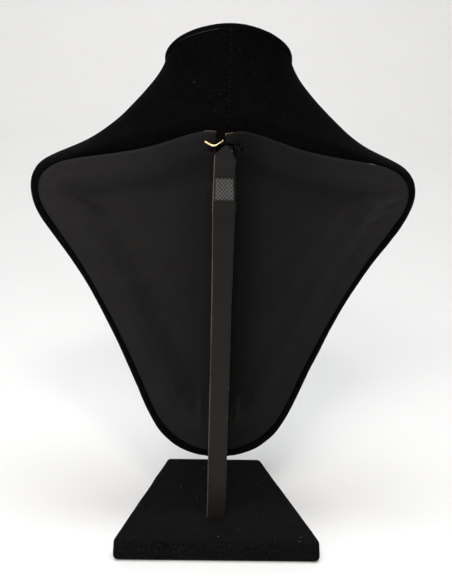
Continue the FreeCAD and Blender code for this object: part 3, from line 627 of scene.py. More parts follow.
def make_bust_skin():
    lev = np.concatenate([[56.0, 56.3], np.arange(56.8, 62, 0.8), np.arange(62, 349, 1.55)])
    lev[0] = 55.7
    g = skin_grid(1.0, np.clip(lev, 56.6, 350))
    # round off the bottom tip
    for i, z in enumerate(lev):
        if z < 57.6:
            q = (57.6 - z) / 1.9
            g[i, :, 0] *= math.sqrt(max(0.02, 1 - q * q * 0.9))
            c = 18.0
            g[i, :, 1] = c + (g[i, :, 1] - c) * math.sqrt(max(0.1, 1 - q * q * 0.75))
    verts, index = [], {}
    n = len(lev)
    W = 2 * HALFN - 2
    allx = np.zeros((n, W))
    ally = np.zeros((n, W))
    for j in range(W):
        if j < HALFN:
            allx[:, j], ally[:, j] = g[:, j, 0], g[:, j, 1]
        else:
            k = W - j
            allx[:, j], ally[:, j] = -g[:, k, 0], g[:, k, 1]
    zz = np.repeat(np.array(lev)[:, None], W, 1)
    own = allx.copy()
    allx += off_centre(zz)
    # outward swelling of the padding just above the panel, then the flat rim
    ally = np.where(ally > 10, softmin(ally, RIM_Y + 1.0, 1.1), ally)
    pts = np.stack([allx.ravel(), zz.ravel()], 1)
    e = poly_distance(pts, PANEL[::3]).reshape(n, W)
    rearness = np.clip((ally - 12.0) / 8.0, 0, 1)
    lip = np.exp(-((e + 9.5) / 4.2) ** 2) * (zz > 236) * rearness
    ally += 1.0 * lip
    # the pile presses in where the panel lies on it
    ally -= 0.5 * np.exp(-((e + 0.6) / 1.1) ** 2) * rearness
    # centre seam down the back of the neck
    neck = np.clip((zz - 279.0) / 4.0, 0, 1) * (ally > 0)
    groove = np.exp(-(own / 0.75) ** 2) * 0.55
    pucker = 0.16 * np.cos(zz * 2 * math.pi / 2.9) * np.exp(-((np.abs(own) - 2.0) / 1.5) ** 2)
    ally += neck * (-groove + pucker + 0.22 * np.exp(-((np.abs(own) - 1.9) / 0.9) ** 2))
    co = np.stack([allx, ally, zz], 2)
    # soft unevenness of stretched velvet
    cen = np.array([0.0, -5.0])
    for i in range(n):
        for j in range(W):
            x, y, z = co[i, j]
            f = fbm((x, y, z), 0.028, 3, 3.1) * 0.42 + fbm((x, y, z), 0.13, 2, 9.0) * 0.12
            if e[i, j] > -5 and y > 20:
                f *= 0.25
            dv = np.array([x * 0.35, y - cen[1]])
            dv = dv / (np.linalg.norm(dv) + 1e-6)
            co[i, j, 0] += dv[0] * f
            co[i, j, 1] += dv[1] * f
    verts = co.reshape(-1, 3)
    faces = []
    for i in range(n - 1):
        for j in range(W):
            j2 = (j + 1) % W
            ids = (i * W + j, i * W + j2, (i + 1) * W + j2, (i + 1) * W + j)
            fe = min(e[i, j], e[i, j2], e[i + 1, j], e[i + 1, j2])
            if fe > 3.2 and ally[i, j] > 15:
                continue
            faces.append(ids)
    # close the bottom tip
    tip = len(verts)
    verts = np.vstack([verts, [[0, 18.0, lev[0] - 0.25]]])
    for j in range(W):
        faces.append((j, tip, (j + 1) % W))
    me = bpy.data.meshes.new("velvet_bust_cover")
    me.from_pydata([tuple(p * MM) for p in verts], [], [tuple(int(q) for q in f) for f in faces])
    bm = bmesh.new()
    bm.from_mesh(me)
    bmesh.ops.delete(bm, geom=[v for v in bm.verts if not v.link_faces], context="VERTS")
    bmesh.ops.recalc_face_normals(bm, faces=bm.faces)
    geom = bm.verts[:] + bm.edges[:] + bm.faces[:]
    bmesh.ops.bisect_plane(bm, geom=geom, dist=1e-7, plane_co=Vector(NECK * MM),
                           plane_no=Vector(NUP), clear_outer=True)
    # turned edge at the top of the neck
    top = [v for v in bm.verts if abs((np.array(v.co) / MM - NECK) @ NUP) < 0.01]
    ring = sorted([tuple(np.array(v.co) / MM) for v in top], key=lambda p: math.atan2(p[1] + 10, p[0]))
    c = np.mean(ring, axis=0)
    for v in bm.verts:
        p = np.array(v.co) / MM
        dist = -((p - NECK) @ NUP)
        if dist < 1.3 and p[2] > 285:
            inw = c - p
            inw -= NUP * (inw @ NUP)
            inw /= np.linalg.norm(inw) + 1e-9
            v.co = Vector((p + inw * 0.9 * (1 - dist / 1.3) ** 2) * MM)
    bm.to_mesh(me)
    bm.free()
    me.polygons.foreach_set("use_smooth", [True] * len(me.polygons))
    ob = bpy.data.objects.new("velvet_bust_cover", me)
    scene.collection.objects.link(ob)
    so = ob.modifiers.new("thickness", "SOLIDIFY")
    so.thickness = 0.0008
    so.offset = -1.0
    so.use_rim = True
    dg = bpy.context.evaluated_depsgraph_get()
    solid = bpy.data.meshes.new_from_object(ob.evaluated_get(dg))
    ob.modifiers.clear()
    ob.data = solid
    solid.name = "velvet_bust_cover"
    solid.polygons.foreach_set("use_smooth", [True] * len(solid.polygons))
    return ob, ring


skin, neck_ring = make_bust_skin()
finish_piece(skin, M_VEL, "bust", "bust_velvet")


def make_cap(ring):
    """Oval disc in the slanted neck opening: padded velvet with a rolled edge."""
    n = 160
    p = np.array(ring)
    c = p.mean(axis=0)
    u = np.array([1.0, 0, 0])
    w = np.cross(NUP, u)
    q = np.stack([(p - c) @ u, (p - c) @ w], 1)
    ang = np.arctan2(q[:, 1], q[:, 0])
    rad = np.hypot(q[:, 0], q[:, 1])
    o = np.argsort(ang)
    ang, rad = ang[o], rad[o]
    th = np.linspace(-math.pi, math.pi, n, endpoint=False)
    rr = np.interp(th, np.concatenate([ang - 2 * math.pi, ang, ang + 2 * math.pi]), np.tile(rad, 3))
    rr = np.convolve(np.concatenate([rr[-4:], rr, rr[:4]]), np.ones(9) / 9, "valid")
    prof = [(-9.0, -0.2), (-2.4, -0.15), (-0.9, -0.1), (-0.1, 0.15), (0.42, 0.7), (0.62, 1.4), (0.66, 2.2),
            (0.5, 3.0), (0.05, 3.55), (-0.75, 3.9), (-1.9, 4.06), (-4.0, 4.12), (-8.0, 4.16),
            (-14.0, 4.2), (-21.0, 4.2)]
    verts, faces = [], []
    for off, hgt in prof:
        for k in range(n):
            r = max(1.0, rr[k] + off)
            if off <= -14:
                r = rr[k] * (0.55 if off > -20 else 0.22)
            base = c + (u * math.cos(th[k]) + w * math.sin(th[k])) * r
            f = fbm(base, 0.06, 2, 5.0) * 0.25 if hgt > 1 else 0.0
            verts.append(base + NUP * (hgt + f))
    m = len(prof)
    for i in range(m - 1):
        for k in range(n):
            k2 = (k + 1) % n
            faces.append((i * n + k, i * n + k2, (i + 1) * n + k2, (i + 1) * n + k))
    t0 = len(verts)
    verts.append(c + NUP * 4.22)
    for k in range(n):
        faces.append(((m - 1) * n + k, (m - 1) * n + (k + 1) % n, t0))
    # underside, seen by no one: closes the pad on the card
    t1 = len(verts)
    verts.append(c + NUP * -0.2)
    for k in range(n):
        faces.append(((k + 1) % n, k, t1))
    return build("velvet_neck_cap", verts, faces)


def make_cut_edge(ring):
    """Thin frayed edge of the velvet in the crease under the cap."""
    p = np.array(ring)
    c = p.mean(axis=0)
    u = np.array([1.0, 0, 0])
    w = np.cross(NUP, u)
    q = np.stack([(p - c) @ u, (p - c) @ w], 1)
    ang = np.arctan2(q[:, 1], q[:, 0])
    rad = np.hypot(q[:, 0], q[:, 1])
    o = np.argsort(ang)
    ang, rad = ang[o], rad[o]
    n = 220
    th = np.linspace(-math.pi, math.pi, n, endpoint=False)
    rr = np.interp(th, np.concatenate([ang - 2 * math.pi, ang, ang + 2 * math.pi]), np.tile(rad, 3))
    rr = np.convolve(np.concatenate([rr[-4:], rr, rr[:4]]), np.ones(9) / 9, "valid")
    verts, faces = [], []
    m = 8
    for k in range(n):
        d = u * math.cos(th[k]) + w * math.sin(th[k])
        a = 0.24 + 0.10 * fbm((th[k] * 12, 0, 0), 1.0, 3, 4.0)
        cen = c + d * (rr[k] + 0.35) + NUP * (-0.35 + 0.12 * fbm((th[k] * 7, 0, 0), 1.0, 2, 6.0))
        for j in range(m):
            b = 2 * math.pi * j / m
            verts.append(cen + (d * math.cos(b) + NUP * math.sin(b)) * a)
    for k in range(n):
        k2 = (k + 1) % n
        for j in range(m):
            j2 = (j + 1) % m
            faces.append((k * m + j, k2 * m + j, k2 * m + j2, k * m + j2))
    return build("velvet_cut_edge", verts, faces)


edge_bead = make_cut_edge(neck_ring)
finish_piece(edge_bead, M_CUT, "bust", None)
cap = make_cap(neck_ring)
finish_piece(cap, M_VEL, "bust", ["neck_cap_velvet", "neck_cap_card"])


# ---------------------------------------------------------------- back lining
def tree_of(node):
    o = NODES[node]
    me = o.data
    return BVHTree.FromPolygons([tuple(v.co) for v in me.vertices],
                                [tuple(p.vertices) for p in me.polygons])


LIN_TREE = tree_of("back_lining")


def bezier_fold(x, z, pts, width, height, power=1.6):
    """Ridge along a polyline, fading at its ends."""
    best, along = 1e9, 0.0
    total = 0.0
    lens = [math.hypot(pts[i + 1][0] - pts[i][0], pts[i + 1][1] - pts[i][1]) for i in range(len(pts) - 1)]
    L = sum(lens)
    acc = 0.0
    for i in range(len(pts) - 1):
        ax, az = pts[i]
        bx, bz = pts[i + 1]
        dx, dz = bx - ax, bz - az
        t = max(0.0, min(1.0, ((x - ax) * dx + (z - az) * dz) / (dx * dx + dz * dz)))
        d = math.hypot(x - ax - t * dx, z - az - t * dz)
        if d < best:
            best, along = d, (acc + t * lens[i]) / L
        acc += lens[i]
    fade = math.sin(math.pi * min(1.0, max(0.0, along * 0.9 + 0.05))) ** 0.6
    return height * fade * math.exp(-abs(best / width) ** power)


FOLDS = [
    ([(113, 240), (100, 236), (88, 229), (80, 222)], 1.6, 0.85),
    ([(108, 232), (96, 224), (86, 212)], 2.2, 0.5),
    ([(-114, 236), (-103, 233), (-95, 226)], 1.5, 0.9),
    ([(-112, 228), (-101, 226), (-92, 220), (-86, 208)], 1.8, 0.8),
    ([(-110, 245), (-99, 241), (-90, 240)], 1.6, 0.55),
    ([(-97, 232), (-88, 218), (-80, 200), (-72, 182)], 3.2, 0.9),
    ([(-84, 205), (-76, 188), (-68, 168), (-60, 150)], 2.2, 0.45),
    ([(48, 96), (43, 89), (40, 84)], 1.2, 0.6),
    ([(30, 84), (22, 78), (14, 74)], 2.0, 0.55),
]


def lining_extra(x, z, e):
    v = 0.0
    # ridge of the board's turned edge, parallel to the sides
    if z < 250:
        v += 0.42 * math.exp(-((e - 11.0) / 2.0) ** 2) * (0.6 + 0.4 * math.sin(z * 0.13 + (2 if x > 0 else 0)))
        v -= 0.25 * math.exp(-((e - 14.5) / 2.0) ** 2)
    for pts, w, h in FOLDS:
        v += bezier_fold(x, z, pts, w * 0.8, h * 1.45)
    # the stiffener telegraphs through
    if 74 < z < 244:
        edge = min(1.0, (z - 74) / 8.0, (244 - z) / 8.0)
        v += edge * 0.75 / (1 + math.exp((abs(x) - 13.0) * 1.5))
        v += edge * 0.45 * math.exp(-((abs(x) - 12.0) / 1.1) ** 2)
    for bx, bz in ((-15.5, 236), (-16.5, 214), (-16.0, 197), (-14.0, 180), (-13.0, 143)):
        v += 0.85 * math.exp(-((x - bx) ** 2 + (z - bz) ** 2) / 12.0)
    # thin edge
    if e < 1.4:
        v -= 0.35 * (1 - e / 1.4) ** 2
    v += 0.30 * fbm((x, 0, z), 0.03, 3, 1.3) + 0.10 * fbm((x, 0, z), 0.16, 2, 4.4)
    return v


def notch_loop():
    """Outline of the panel with the notch and the tongue slot cut in."""
    lp = [tuple(p) for p in PANEL]
    # start just past the notch's +x lip and run down the +x side is the curve's own order
    i0 = [i for i, p in enumerate(lp) if p[1] > 270 and 0.0 < p[0] < 5.8]
    keep = [p for i, p in enumerate(lp) if i not in set(i0)]
    # rotate so that the gap is at the list's end
    gap = max(range(len(keep)), key=lambda i: math.hypot(keep[i][0] - keep[i - 1][0], keep[i][1] - keep[i - 1][1]))
    keep = keep[gap:] + keep[:gap]
    first, last = keep[0], keep[-1]
    path = [(5.8, 277.0), (5.75, 275.9), (5.6, 273), (5.7, 270), (5.8, 266), (5.8, 262), (3.0, 262), (0, 262), (-3, 262),
            (-5.2, 262), (-5.2, 266), (-5.2, 269.9), (-2.6, 269.9), (0.0, 269.9), (0.05, 272.5), (-0.1, 275.0)]
    if first[0] > last[0]:
        # loop begins at +x lip, so the path is walked from the -x side
        path = path[::-1]
    full = keep + path
    return np.array(full)


LOOP = notch_loop()


def thin_loop(lp, gap=1.1):
    out = [lp[0]]
    for p in lp[1:]:
        if math.hypot(p[0] - out[-1][0], p[1] - out[-1][1]) >= gap:
            out.append(p)
    return np.array(out)


LOOP = thin_loop(LOOP, 0.9)


def sheet_mesh(loop, holes, pitch, clear=0.6):
    """Triangulated region inside loop, outside holes: (points, triangles)."""
    lo, hi = loop.min(0), loop.max(0)
    pts = [tuple(p) for p in loop]
    cons = [(i, (i + 1) % len(loop)) for i in range(len(loop))]
    for h in holes:
        o = len(pts)
        pts += [tuple(p) for p in h]
        cons += [(o + i, o + (i + 1) % len(h)) for i in range(len(h))]
    grid = []
    row = 0
    z = lo[1]
    while z <= hi[1]:
        x = lo[0] + (pitch / 2 if row % 2 else 0)
        while x <= hi[0]:
            grid.append((x, z))
            x += pitch
        z += pitch * 0.87
        row += 1
    grid = np.array(grid)
    d = poly_distance(grid, loop)
    ok = d > clear * pitch
    for h in holes:
        ok &= poly_distance(grid, h) < -clear * pitch
    pts += [tuple(p) for p in grid[ok]]
    v2, e2, f2, ov, oe, of = delaunay_2d_cdt([Vector(p) for p in pts], cons, [], 0, 1e-6)
    v2 = np.array([tuple(v) for v in v2])
    tris = [tuple(f) for f in f2]
    cen = np.array([v2[list(t)].mean(0) for t in tris])
    keep = poly_distance(cen, loop) > 0
    for h in holes:
        keep &= poly_distance(cen, h) < 0
    return v2, [t for t, k in zip(tris, keep) if k]


def thick_sheet(v2, tris, front, back):
    """Closed solid between two height lists over a triangulated region in XZ (height along y)."""
    n = len(v2)
    verts = [(x, front[i], z) for i, (x, z) in enumerate(v2)] + [(x, back[i], z) for i, (x, z) in enumerate(v2)]
    faces = [tuple(t) for t in tris] + [(t[0] + n, t[2] + n, t[1] + n) for t in tris]
    count = {}
    for t in tris:
        for a, b in ((t[0], t[1]), (t[1], t[2]), (t[2], t[0])):
            count[(a, b)] = count.get((a, b), 0) + 1
    for (a, b) in list(count):
        if (b, a) not in count:
            faces.append((b, a, a + n, b + n))
    used = sorted({i for f in faces for i in f})
    remap = {o: k for k, o in enumerate(used)}
    return [verts[i] for i in used], [tuple(remap[i] for i in f) for f in faces]


def circle(cx, cz, r, n=18, wob=0.0):
    return np.array([(cx + r * (1 + wob * math.sin(3 * a + cx)) * math.cos(a), cz + r * math.sin(a))
                     for a in np.linspace(0, 2 * math.pi, n, endpoint=False)])


HOLES = [circle(8.3, 266.0, 1.5, 18, 0.12), circle(-8.3, 266.0, 1.5, 18, 0.12)]


def make_lining():
    v2, tris = sheet_mesh(LOOP, HOLES, 1.4)
    e = np.abs(poly_distance(v2, PANEL[::3]))
    rear, base = [], []
    for (x, z), ee in zip(v2, e):
        hit = LIN_TREE.ray_cast(Vector((x * MM, 0.06, z * MM)), Vector((0, -1, 0)))
        if hit[0] is None or hit[0].y < 0.008:
            near = LIN_TREE.find_nearest(Vector((x * MM, 0.0258 if ee < 6 else 0.022, z * MM)))
            y = near[0].y / MM
            y = max(y, 25.1) if ee < 5 else y
        else:
            y = hit[0].y / MM
        base.append(y)
        rear.append(y + lining_extra(x, z, ee))
    rear = np.array(rear)
    front = np.array(base) - 0.62
    front = np.minimum(front, rear - 0.3)
    verts, faces = thick_sheet(v2, tris, front, rear)
    return build("back_lining_sheet", verts, faces)


lining = make_lining()
finish_piece(lining, M_LIN, "bust", "back_lining")
PLACEHOLDER = None


# ---------------------------------------------------------------- strut
STY = 27.85


def strut_path():
    """Centre line of the bent strip in the YZ plane, as in the frame."""
    pts = [(STY, 3.2), (STY, 233.5), (20.9, 248.5), (25.3, 262.0), (26.5, 266.0), (26.75, 270.0)]
    rad = [6.0, 7.0, 6.0, 6.0]
    out = [np.array(pts[0], float)]
    for i in range(1, len(pts) - 1):
        a, b, c = map(lambda q: np.array(q, float), (pts[i - 1], pts[i], pts[i + 1]))
        ba, bc = (a - b) / np.linalg.norm(a - b), (c - b) / np.linalg.norm(c - b)
        half = math.acos(np.clip(ba @ bc, -1, 1)) / 2
        run = rad[i - 1] / math.tan(half)
        t0, t1 = b + ba * run, b + bc * run
        mid = (ba + bc) / np.linalg.norm(ba + bc)
        cen = b + mid * rad[i - 1] / math.sin(half)
        a0 = math.atan2(*(t0 - cen)[::-1])
        a1 = math.atan2(*(t1 - cen)[::-1])
        while a1 - a0 > math.pi:
            a1 -= 2 * math.pi
        while a1 - a0 < -math.pi:
            a1 += 2 * math.pi
        for k in range(13):
            t = a0 + (a1 - a0) * k / 12
            out.append(cen + rad[i - 1] * np.array([math.cos(t), math.sin(t)]))
    out.append(np.array(pts[-1], float))
    out = np.array(out)
    L = np.concatenate([[0], np.cumsum(np.linalg.norm(np.diff(out, axis=0), axis=1))])
    top = np.interp(269.25, out[:, 1], L)
    s = np.concatenate([np.linspace(0, top - 8, 410), np.linspace(top - 7.6, top, 30)])
    p = np.stack([np.interp(s, L, out[:, 0]), np.interp(s, L, out[:, 1])], 1)
    tan = np.gradient(p, axis=0)
    tan /= np.linalg.norm(tan, axis=1)[:, None]
    nor = np.stack([tan[:, 1], -tan[:, 0]], 1)      # towards +Y
    return p, nor


HZ = [3.2, 115, 170, 197, 220, 231, 240, 250, 258, 262.6, 264.6, 267.4, 269.0, 269.4]
HPLUS = [6.3, 6.35, 6.55, 6.8, 7.15, 7.4, 7.05, 6.85, 6.85, 6.6, 6.2, 3.0, 0.2, -1.4]
HMZ = [3.2, 115, 170, 197, 220, 231, 240, 250, 258, 260.8, 266.2, 269.4]
HMINUS = [6.3, 6.35, 6.55, 6.8, 7.15, 7.4, 7.05, 6.85, 6.85, 6.85, 4.0, 1.6]


def make_facing(name, side, in_plus, in_minus):
    """One leatherette face of the strip: rows along the path, columns across."""
    p, nor = strut_path()
    cols = 15
    verts = []
    inner, outer = 0.9, 1.6
    rows = len(p)
    for i in range(rows):
        z = p[i, 1]
        fade = min(1.0, max(0.0, (268.6 - z) / 3.0))
        nick = 0.35 * math.exp(-((z - 108.0) / 0.9) ** 2) + 0.45 * math.exp(-((z - 88.0) / 0.8) ** 2)
        xp = np.interp(z, HZ, HPLUS) - (in_plus + 0.14 * fbm((0, 0, z), 0.11, 3, 2.0)) * fade
        xm = np.interp(z, HMZ, HMINUS) - (in_minus + nick + 0.10 * fbm((0, 0, z), 0.13, 3, 8.0)
                                          + 0.3 * min(1.0, max(0.0, (z - 256) / 4.0))) * fade
        for k in range(cols):
            t = k / (cols - 1.0)
            x = xp * (1 - t) - xm * t
            ed = min(t, 1 - t) * 2
            rise = -0.16 * (1 - min(1, ed / 0.16)) ** 2 + 0.07 * fbm((x, 0, z), 0.09, 2, 6.0)
            q = p[i] + nor[i] * side * (outer + rise)
            verts.append((x, q[0], q[1]))
    off = len(verts)
    for i in range(rows):
        for k in range(cols):
            x, y, z = verts[i * cols + k]
            q = p[i] + nor[i] * side * inner
            verts.append((x, q[0], q[1]))
    faces = []
    for i in range(rows - 1):
        for k in range(cols - 1):
            a, b, c, d = i * cols + k, i * cols + k + 1, (i + 1) * cols + k + 1, (i + 1) * cols + k
            faces.append((a, b, c, d))
            faces.append((a + off, d + off, c + off, b + off))
    for i in range(rows - 1):
        for k in (0, cols - 1):
            a, d = i * cols + k, (i + 1) * cols + k
            faces.append((a, d, d + off, a + off))
    for k in range(cols - 1):
        for i in (0, rows - 1):
            a, b = i * cols + k, i * cols + k + 1
            faces.append((a, a + off, b + off, b))
    return build(name, verts, faces)


facing = make_facing("strut_facing_back", 1.0, 0.62, 0.12)
finish_piece(facing, M_STR, "strut", "strut_facing_rear")


# ---------------------------------------------------------------- tie, wire, stitches
wire = build("brass_wire_toggle", *sweep(
    [(12.6, 26.9, 271.0), (11.6, 27.0, 270.5), (10.2, 27.1, 269.7), (8.7, 27.2, 269.0), (7.3, 27.3, 268.8),
     (6.0, 27.3, 269.0), (4.6, 27.2, 269.8), (3.1, 27.0, 270.9), (1.7, 26.9, 271.9)],
    [0.55, 0.66, 0.70, 0.70, 0.66, 0.52, 0.40, 0.36, 0.44], 16, 8))
finish_piece(wire, M_BRASS, "bust", "brass_toggle")

parts = [
    sweep([(8.0, 20.6, 265.2), (8.3, 22.5, 265.9), (8.35, 24.6, 266.0), (8.3, 25.9, 266.4), (8.2, 26.5, 267.4),
           (8.1, 26.3, 268.3)], [0.7, 0.7, 0.75, 0.85, 0.8, 0.6], 12, 7),
    sweep([(8.9, 22.5, 265.5), (9.1, 24.9, 265.8), (9.3, 26.1, 266.7), (9.4, 26.2, 267.9), (9.3, 25.8, 268.8)],
          [0.5, 0.55, 0.55, 0.5, 0.4], 12, 7),
    sweep([(8.1, 20.0, 264.9), (5.0, 19.5, 264.7), (0.0, 19.4, 264.7), (-5.0, 19.5, 264.7), (-8.1, 20.2, 265.0),
           (-8.3, 22.4, 265.8), (-8.3, 24.6, 266.0), (-8.2, 26.0, 266.2)], 0.6, 10, 7),
]
tie = build("tie_elastic", *join_parts(parts))
finish_piece(tie, M_CORD, "bust", "tie_cord")

kx, ky, kz = -7.8, 27.2, 266.6
loops = []
pts = []
for k in range(19):
    a = 2 * math.pi * k / 18
    pts.append((kx + 1.35 * math.cos(a), ky + 0.75 * math.sin(2 * a), kz + 1.25 * math.sin(a)))
loops.append(sweep(pts, 0.78, 12, 5))
pts = []
for k in range(17):
    a = 2 * math.pi * k / 16 + 0.6
    pts.append((kx + 0.75 * math.sin(a), ky + 1.15 * math.cos(a), kz - 0.2 + 1.1 * math.sin(a + 0.5)))
loops.append(sweep(pts, 0.72, 12, 5))
loops.append(sweep([(kx + 0.9, ky + 0.2, kz + 1.0), (kx + 1.7, ky + 0.6, kz + 1.9), (kx + 2.7, ky + 0.3, kz + 2.6)],
                   [0.62, 0.6, 0.45], 12, 6))
loops.append(sweep([(kx - 0.6, ky + 0.3, kz + 1.0), (kx - 1.6, ky + 0.5, kz + 1.9), (kx - 2.0, ky + 0.2, kz + 2.7)],
                   [0.62, 0.6, 0.42], 12, 6))
loops.append(sweep([(kx - 0.3, ky + 0.3, kz - 1.0), (kx - 0.6, ky + 0.5, kz - 2.2), (kx - 1.3, ky - 0.2, kz - 3.0)],
                   [0.62, 0.56, 0.4], 12, 6))
knot = build("tie_knot_loops", *join_parts(loops))
finish_piece(knot, M_CORD, "bust", "tie_knot")

SKIN_TREE = BVHTree.FromPolygons([tuple(v.co) for v in skin.data.vertices],
                                 [tuple(p.vertices) for p in skin.data.polygons])
st = []
for k in range(19):
    z = 284.0 + 2.9 * k
    x0 = float(off_centre(z))
    hit = SKIN_TREE.ray_cast(Vector((x0 * MM, 0.05, z * MM)), Vector((0, -1, 0)))
    if hit[0] is None:
        continue
    y = hit[0].y / MM
    dx = x0 + 0.12 * math.sin(k * 2.3)
    st.append(sweep([(dx, y - 0.45, z - 0.8), (dx + 0.03, y + 0.10, z - 0.45), (dx + 0.05, y + 0.16, z),
                     (dx + 0.03, y + 0.10, z + 0.45), (dx, y - 0.45, z + 0.8)], 0.22, 8, 4))
stitch = build("neck_seam_thread", *join_parts(st))
finish_piece(stitch, M_THREAD, "bust", "neck_seam_stitches")


# ---------------------------------------------------------------- base velvet
def trapezoid_loop(inset, corner, n_arc=10, step=2.2):
    rw, fw, dp = 137.0, 69.0, 130.0
    sl = (rw - fw) / 2 / dp
    g = math.sqrt(1 + sl * sl)
    yr, yf = dp / 2 - inset, -dp / 2 + inset

    def hw(y):
        return fw / 2 + sl * (y + dp / 2) - inset * g
    cs = [(hw(yr), yr), (-hw(yr), yr), (-hw(yf), yf), (hw(yf), yf)]
    out = []
    for i in range(4):
        a, b, c = np.array(cs[i - 1]), np.array(cs[i]), np.array(cs[(i + 1) % 4])
        ba, bc = (a - b) / np.linalg.norm(a - b), (c - b) / np.linalg.norm(c - b)
        half = math.acos(ba @ bc) / 2
        run = corner / math.tan(half)
        t0, t1 = b + ba * run, b + bc * run
        mid = (ba + bc) / np.linalg.norm(ba + bc)
        cen = b + mid * corner / math.sin(half)
        a0 = math.atan2(*(t0 - cen)[::-1])
        a1 = math.atan2(*(t1 - cen)[::-1])
        if a1 - a0 > math.pi:
            a1 -= 2 * math.pi
        if a1 - a0 < -math.pi:
            a1 += 2 * math.pi
        for k in range(n_arc + 1):
            t = a0 + (a1 - a0) * k / n_arc
            out.append(cen + corner * np.array([math.cos(t), math.sin(t)]))
        # straight run to the next corner
        b2, c2 = np.array(cs[(i + 1) % 4]), np.array(cs[(i + 2) % 4])
        ab = (b - b2) / np.linalg.norm(b - b2)
        cb = (c2 - b2) / np.linalg.norm(c2 - b2)
        h2 = math.acos(ab @ cb) / 2
        end = b2 + ab * corner / math.tan(h2)
        m = int(np.linalg.norm(end - t1) / step)
        for k in range(1, m):
            out.append(t1 + (end - t1) * k / m)
    return np.array(out)


def make_base():
    top_in = 2.0
    ref = trapezoid_loop(0.0, 3.4)
    n = len(ref)
    # outward normals
    tn = np.roll(ref, -1, 0) - np.roll(ref, 1, 0)
    nn = np.stack([tn[:, 1], -tn[:, 0]], 1)
    nn /= np.linalg.norm(nn, axis=1)[:, None]
    cen = ref.mean(0)
    if ((ref - cen) * nn).sum() < 0:
        nn = -nn
    inner = trapezoid_loop(2.0, 1.6)
    prof = [(-13.0, 1.0), (-11.0, 1.02), (-4.0, 1.0), (-1.7, 1.05), (-0.7, 1.35), (-0.15, 2.1), (0.05, 3.4),
            (0.12, 5.2), (0.14, 7.6), (0.12, 9.9), (0.04, 12.0), (-0.12, 13.3), (-0.5, 14.15), (-1.1, 14.62)]
    verts, faces = [], []
    corners = np.array([(66.5, 63.0), (-66.5, 63.0), (-33.0, -63.0), (33.0, -63.0)])
    for off, z in prof:
        for k in range(n):
            p = ref[k] + nn[k] * off
            cd = min(np.hypot(*(ref[k] - c)) for c in corners)
            side = 1.0 if 1.2 < z < 14.3 else 0.35
            puff = 0.28 * fbm((ref[k][0], ref[k][1], z), 0.05, 3, 2.2)
            fold = 0.55 * math.exp(-(cd / 4.0) ** 2) * math.exp(-((z - 3.0) / 3.5) ** 2)
            if z < 1.3:
                puff *= 0.1
                fold = 0
            p = p + nn[k] * side * (puff + fold)
            verts.append((p[0], p[1], z))
    m = len(prof)
    for i in range(m - 1):
        for k in range(n):
            k2 = (k + 1) % n
            faces.append((i * n + k, i * n + k2, (i + 1) * n + k2, (i + 1) * n + k))
    # top sheet with the slit that the strut stands in
    last = np.array([verts[(m - 1) * n + k][:2] for k in range(n)])
    slit = []
    for k in range(25):
        slit.append((-6.5 + 13.0 * k / 24, STY + 1.75))
    for k in range(25):
        slit.append((6.5 - 13.0 * k / 24, STY - 1.75))
    slit = np.array(slit)
    v2, tris = sheet_mesh(last, [slit], 2.2)
    es = -poly_distance(v2, slit)
    el = np.abs(poly_distance(v2, last))
    o = len(verts)
    top = []
    for (x, y), a, b in zip(v2, es, el):
        z = 14.62 + 0.20 * (1 - math.exp(-b / 2.5)) + 0.10 * fbm((x, y, 0), 0.045, 3, 7.7) * min(1, b / 3)
        z -= 0.30 * math.exp(-(a / 1.6) ** 2)
        top.append((x, y, z))
    # reuse the rolled edge's last ring for the sheet's boundary
    key = {}
    for k in range(n):
        q = verts[(m - 1) * n + k]
        key[(round(q[0], 4), round(q[1], 4))] = (m - 1) * n + k
    remap = {}
    for i, q in enumerate(top):
        h = key.get((round(q[0], 4), round(q[1], 4)))
        if h is None:
            remap[i] = len(verts)
            verts.append(q)
        else:
            remap[i] = h
    for t in tris:
        faces.append(tuple(remap[i] for i in t))
    # lips of the slit go down into the board's socket
    lip = [i for i in range(len(v2)) if abs(es[i]) < 1e-4]
    order = sorted(lip, key=lambda i: min(range(len(slit)), key=lambda s: np.hypot(*(slit[s] - v2[i]))))
    ring = [remap[i] for i in order]
    dn = []
    for r in ring:
        x, y, z = verts[r]
        dn.append(len(verts))
        verts.append((x, y, 11.0))
    for a in range(len(ring)):
        b = (a + 1) % len(ring)
        faces.append((ring[a], ring[b], dn[b], dn[a]))
    me = build("velvet_base_cover", verts, faces)
    so = me.modifiers.new("thickness", "SOLIDIFY")
    so.thickness = 0.0007
    so.offset = -1.0
    dg = bpy.context.evaluated_depsgraph_get()
    solid = bpy.data.meshes.new_from_object(me.evaluated_get(dg))
    me.modifiers.clear()
    me.data = solid
    solid.polygons.foreach_set("use_smooth", [True] * len(solid.polygons))
    return me


base = make_base()
finish_piece(base, M_VELB, "base", "base_velvet")


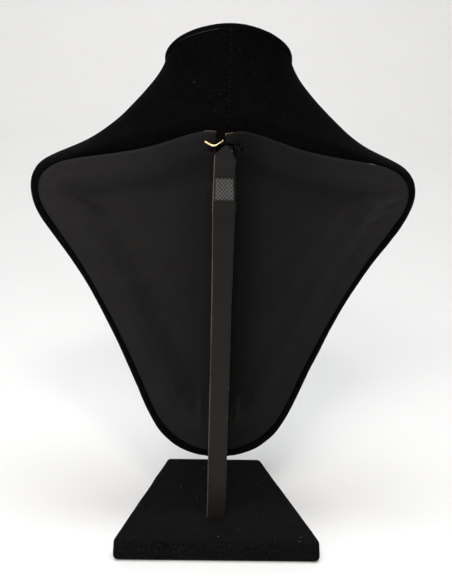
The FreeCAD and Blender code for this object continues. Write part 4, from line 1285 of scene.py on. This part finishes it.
# ---------------------------------------------------------------- stage and light
def make_stage():
    verts, faces = [], []
    prof = [(3.0, 0.0), (0.6, 0.0), (-0.1, 0.0), (-1.5, 0.0)]
    for k in range(1, 13):
        a = math.pi / 2 * k / 12
        prof.append((-1.5 - 0.5 * math.sin(a), 0.5 - 0.5 * math.cos(a)))
    prof += [(-2.0, 1.2), (-2.0, 2.0)]
    for y, z in prof:
        for x in (-3.0, 3.0):
            verts.append((x / MM, y / MM, z / MM))
    for i in range(len(prof) - 1):
        faces.append((2 * i, 2 * i + 1, 2 * i + 3, 2 * i + 2))
    ob = build("floor", verts, faces)
    m = Mat("floor_paint")
    n = m.noise(6.0, 3.0)
    m.link(m.mix(n, (0.86, 0.86, 0.86), (0.90, 0.90, 0.90)), m.b.inputs["Base Color"])
    m.const(Roughness=0.85)
    ob.data.materials.append(m.m)


make_stage()

w = bpy.data.worlds.new("world")
scene.world = w
w.use_nodes = True
w.node_tree.nodes["Background"].inputs[0].default_value = (1.0, 1.0, 1.0, 1.0)
w.node_tree.nodes["Background"].inputs[1].default_value = 0.14


def area(name, pos, target, size, power, colour=(1, 1, 1)):
    li = bpy.data.lights.new(name, "AREA")
    li.shape = "RECTANGLE"
    li.size, li.size_y = size
    li.energy = power
    li.color = colour
    ob = bpy.data.objects.new(name, li)
    scene.collection.objects.link(ob)
    ob.location = pos
    d = Vector(target) - Vector(pos)
    ob.rotation_euler = d.to_track_quat("-Z", "Y").to_euler()


area("key", (0.30, 1.45, 1.16), (0, 0, 0.20), (0.42, 0.30), 11.5, (1.0, 0.965, 0.93))
area("kicker", (-0.04, 1.30, 1.23), (0, 0.02, 0.24), (0.22, 0.16), 7.5, (1.0, 0.955, 0.91))
area("side", (0.95, 1.15, 0.62), (0, 0, 0.16), (0.30, 0.40), 3.0, (1.0, 0.99, 0.98))
area("top", (0.0, 0.25, 1.6), (0, 0.25, 0.0), (1.5, 0.9), 18.5, (0.97, 0.985, 1.0))
area("wall", (0.0, -1.35, 1.55), (0, -1.75, 0.0), (2.2, 0.5), 11.0, (1.0, 0.99, 0.98))
scene.view_settings.view_transform = "Standard"
scene.view_settings.look = "None"
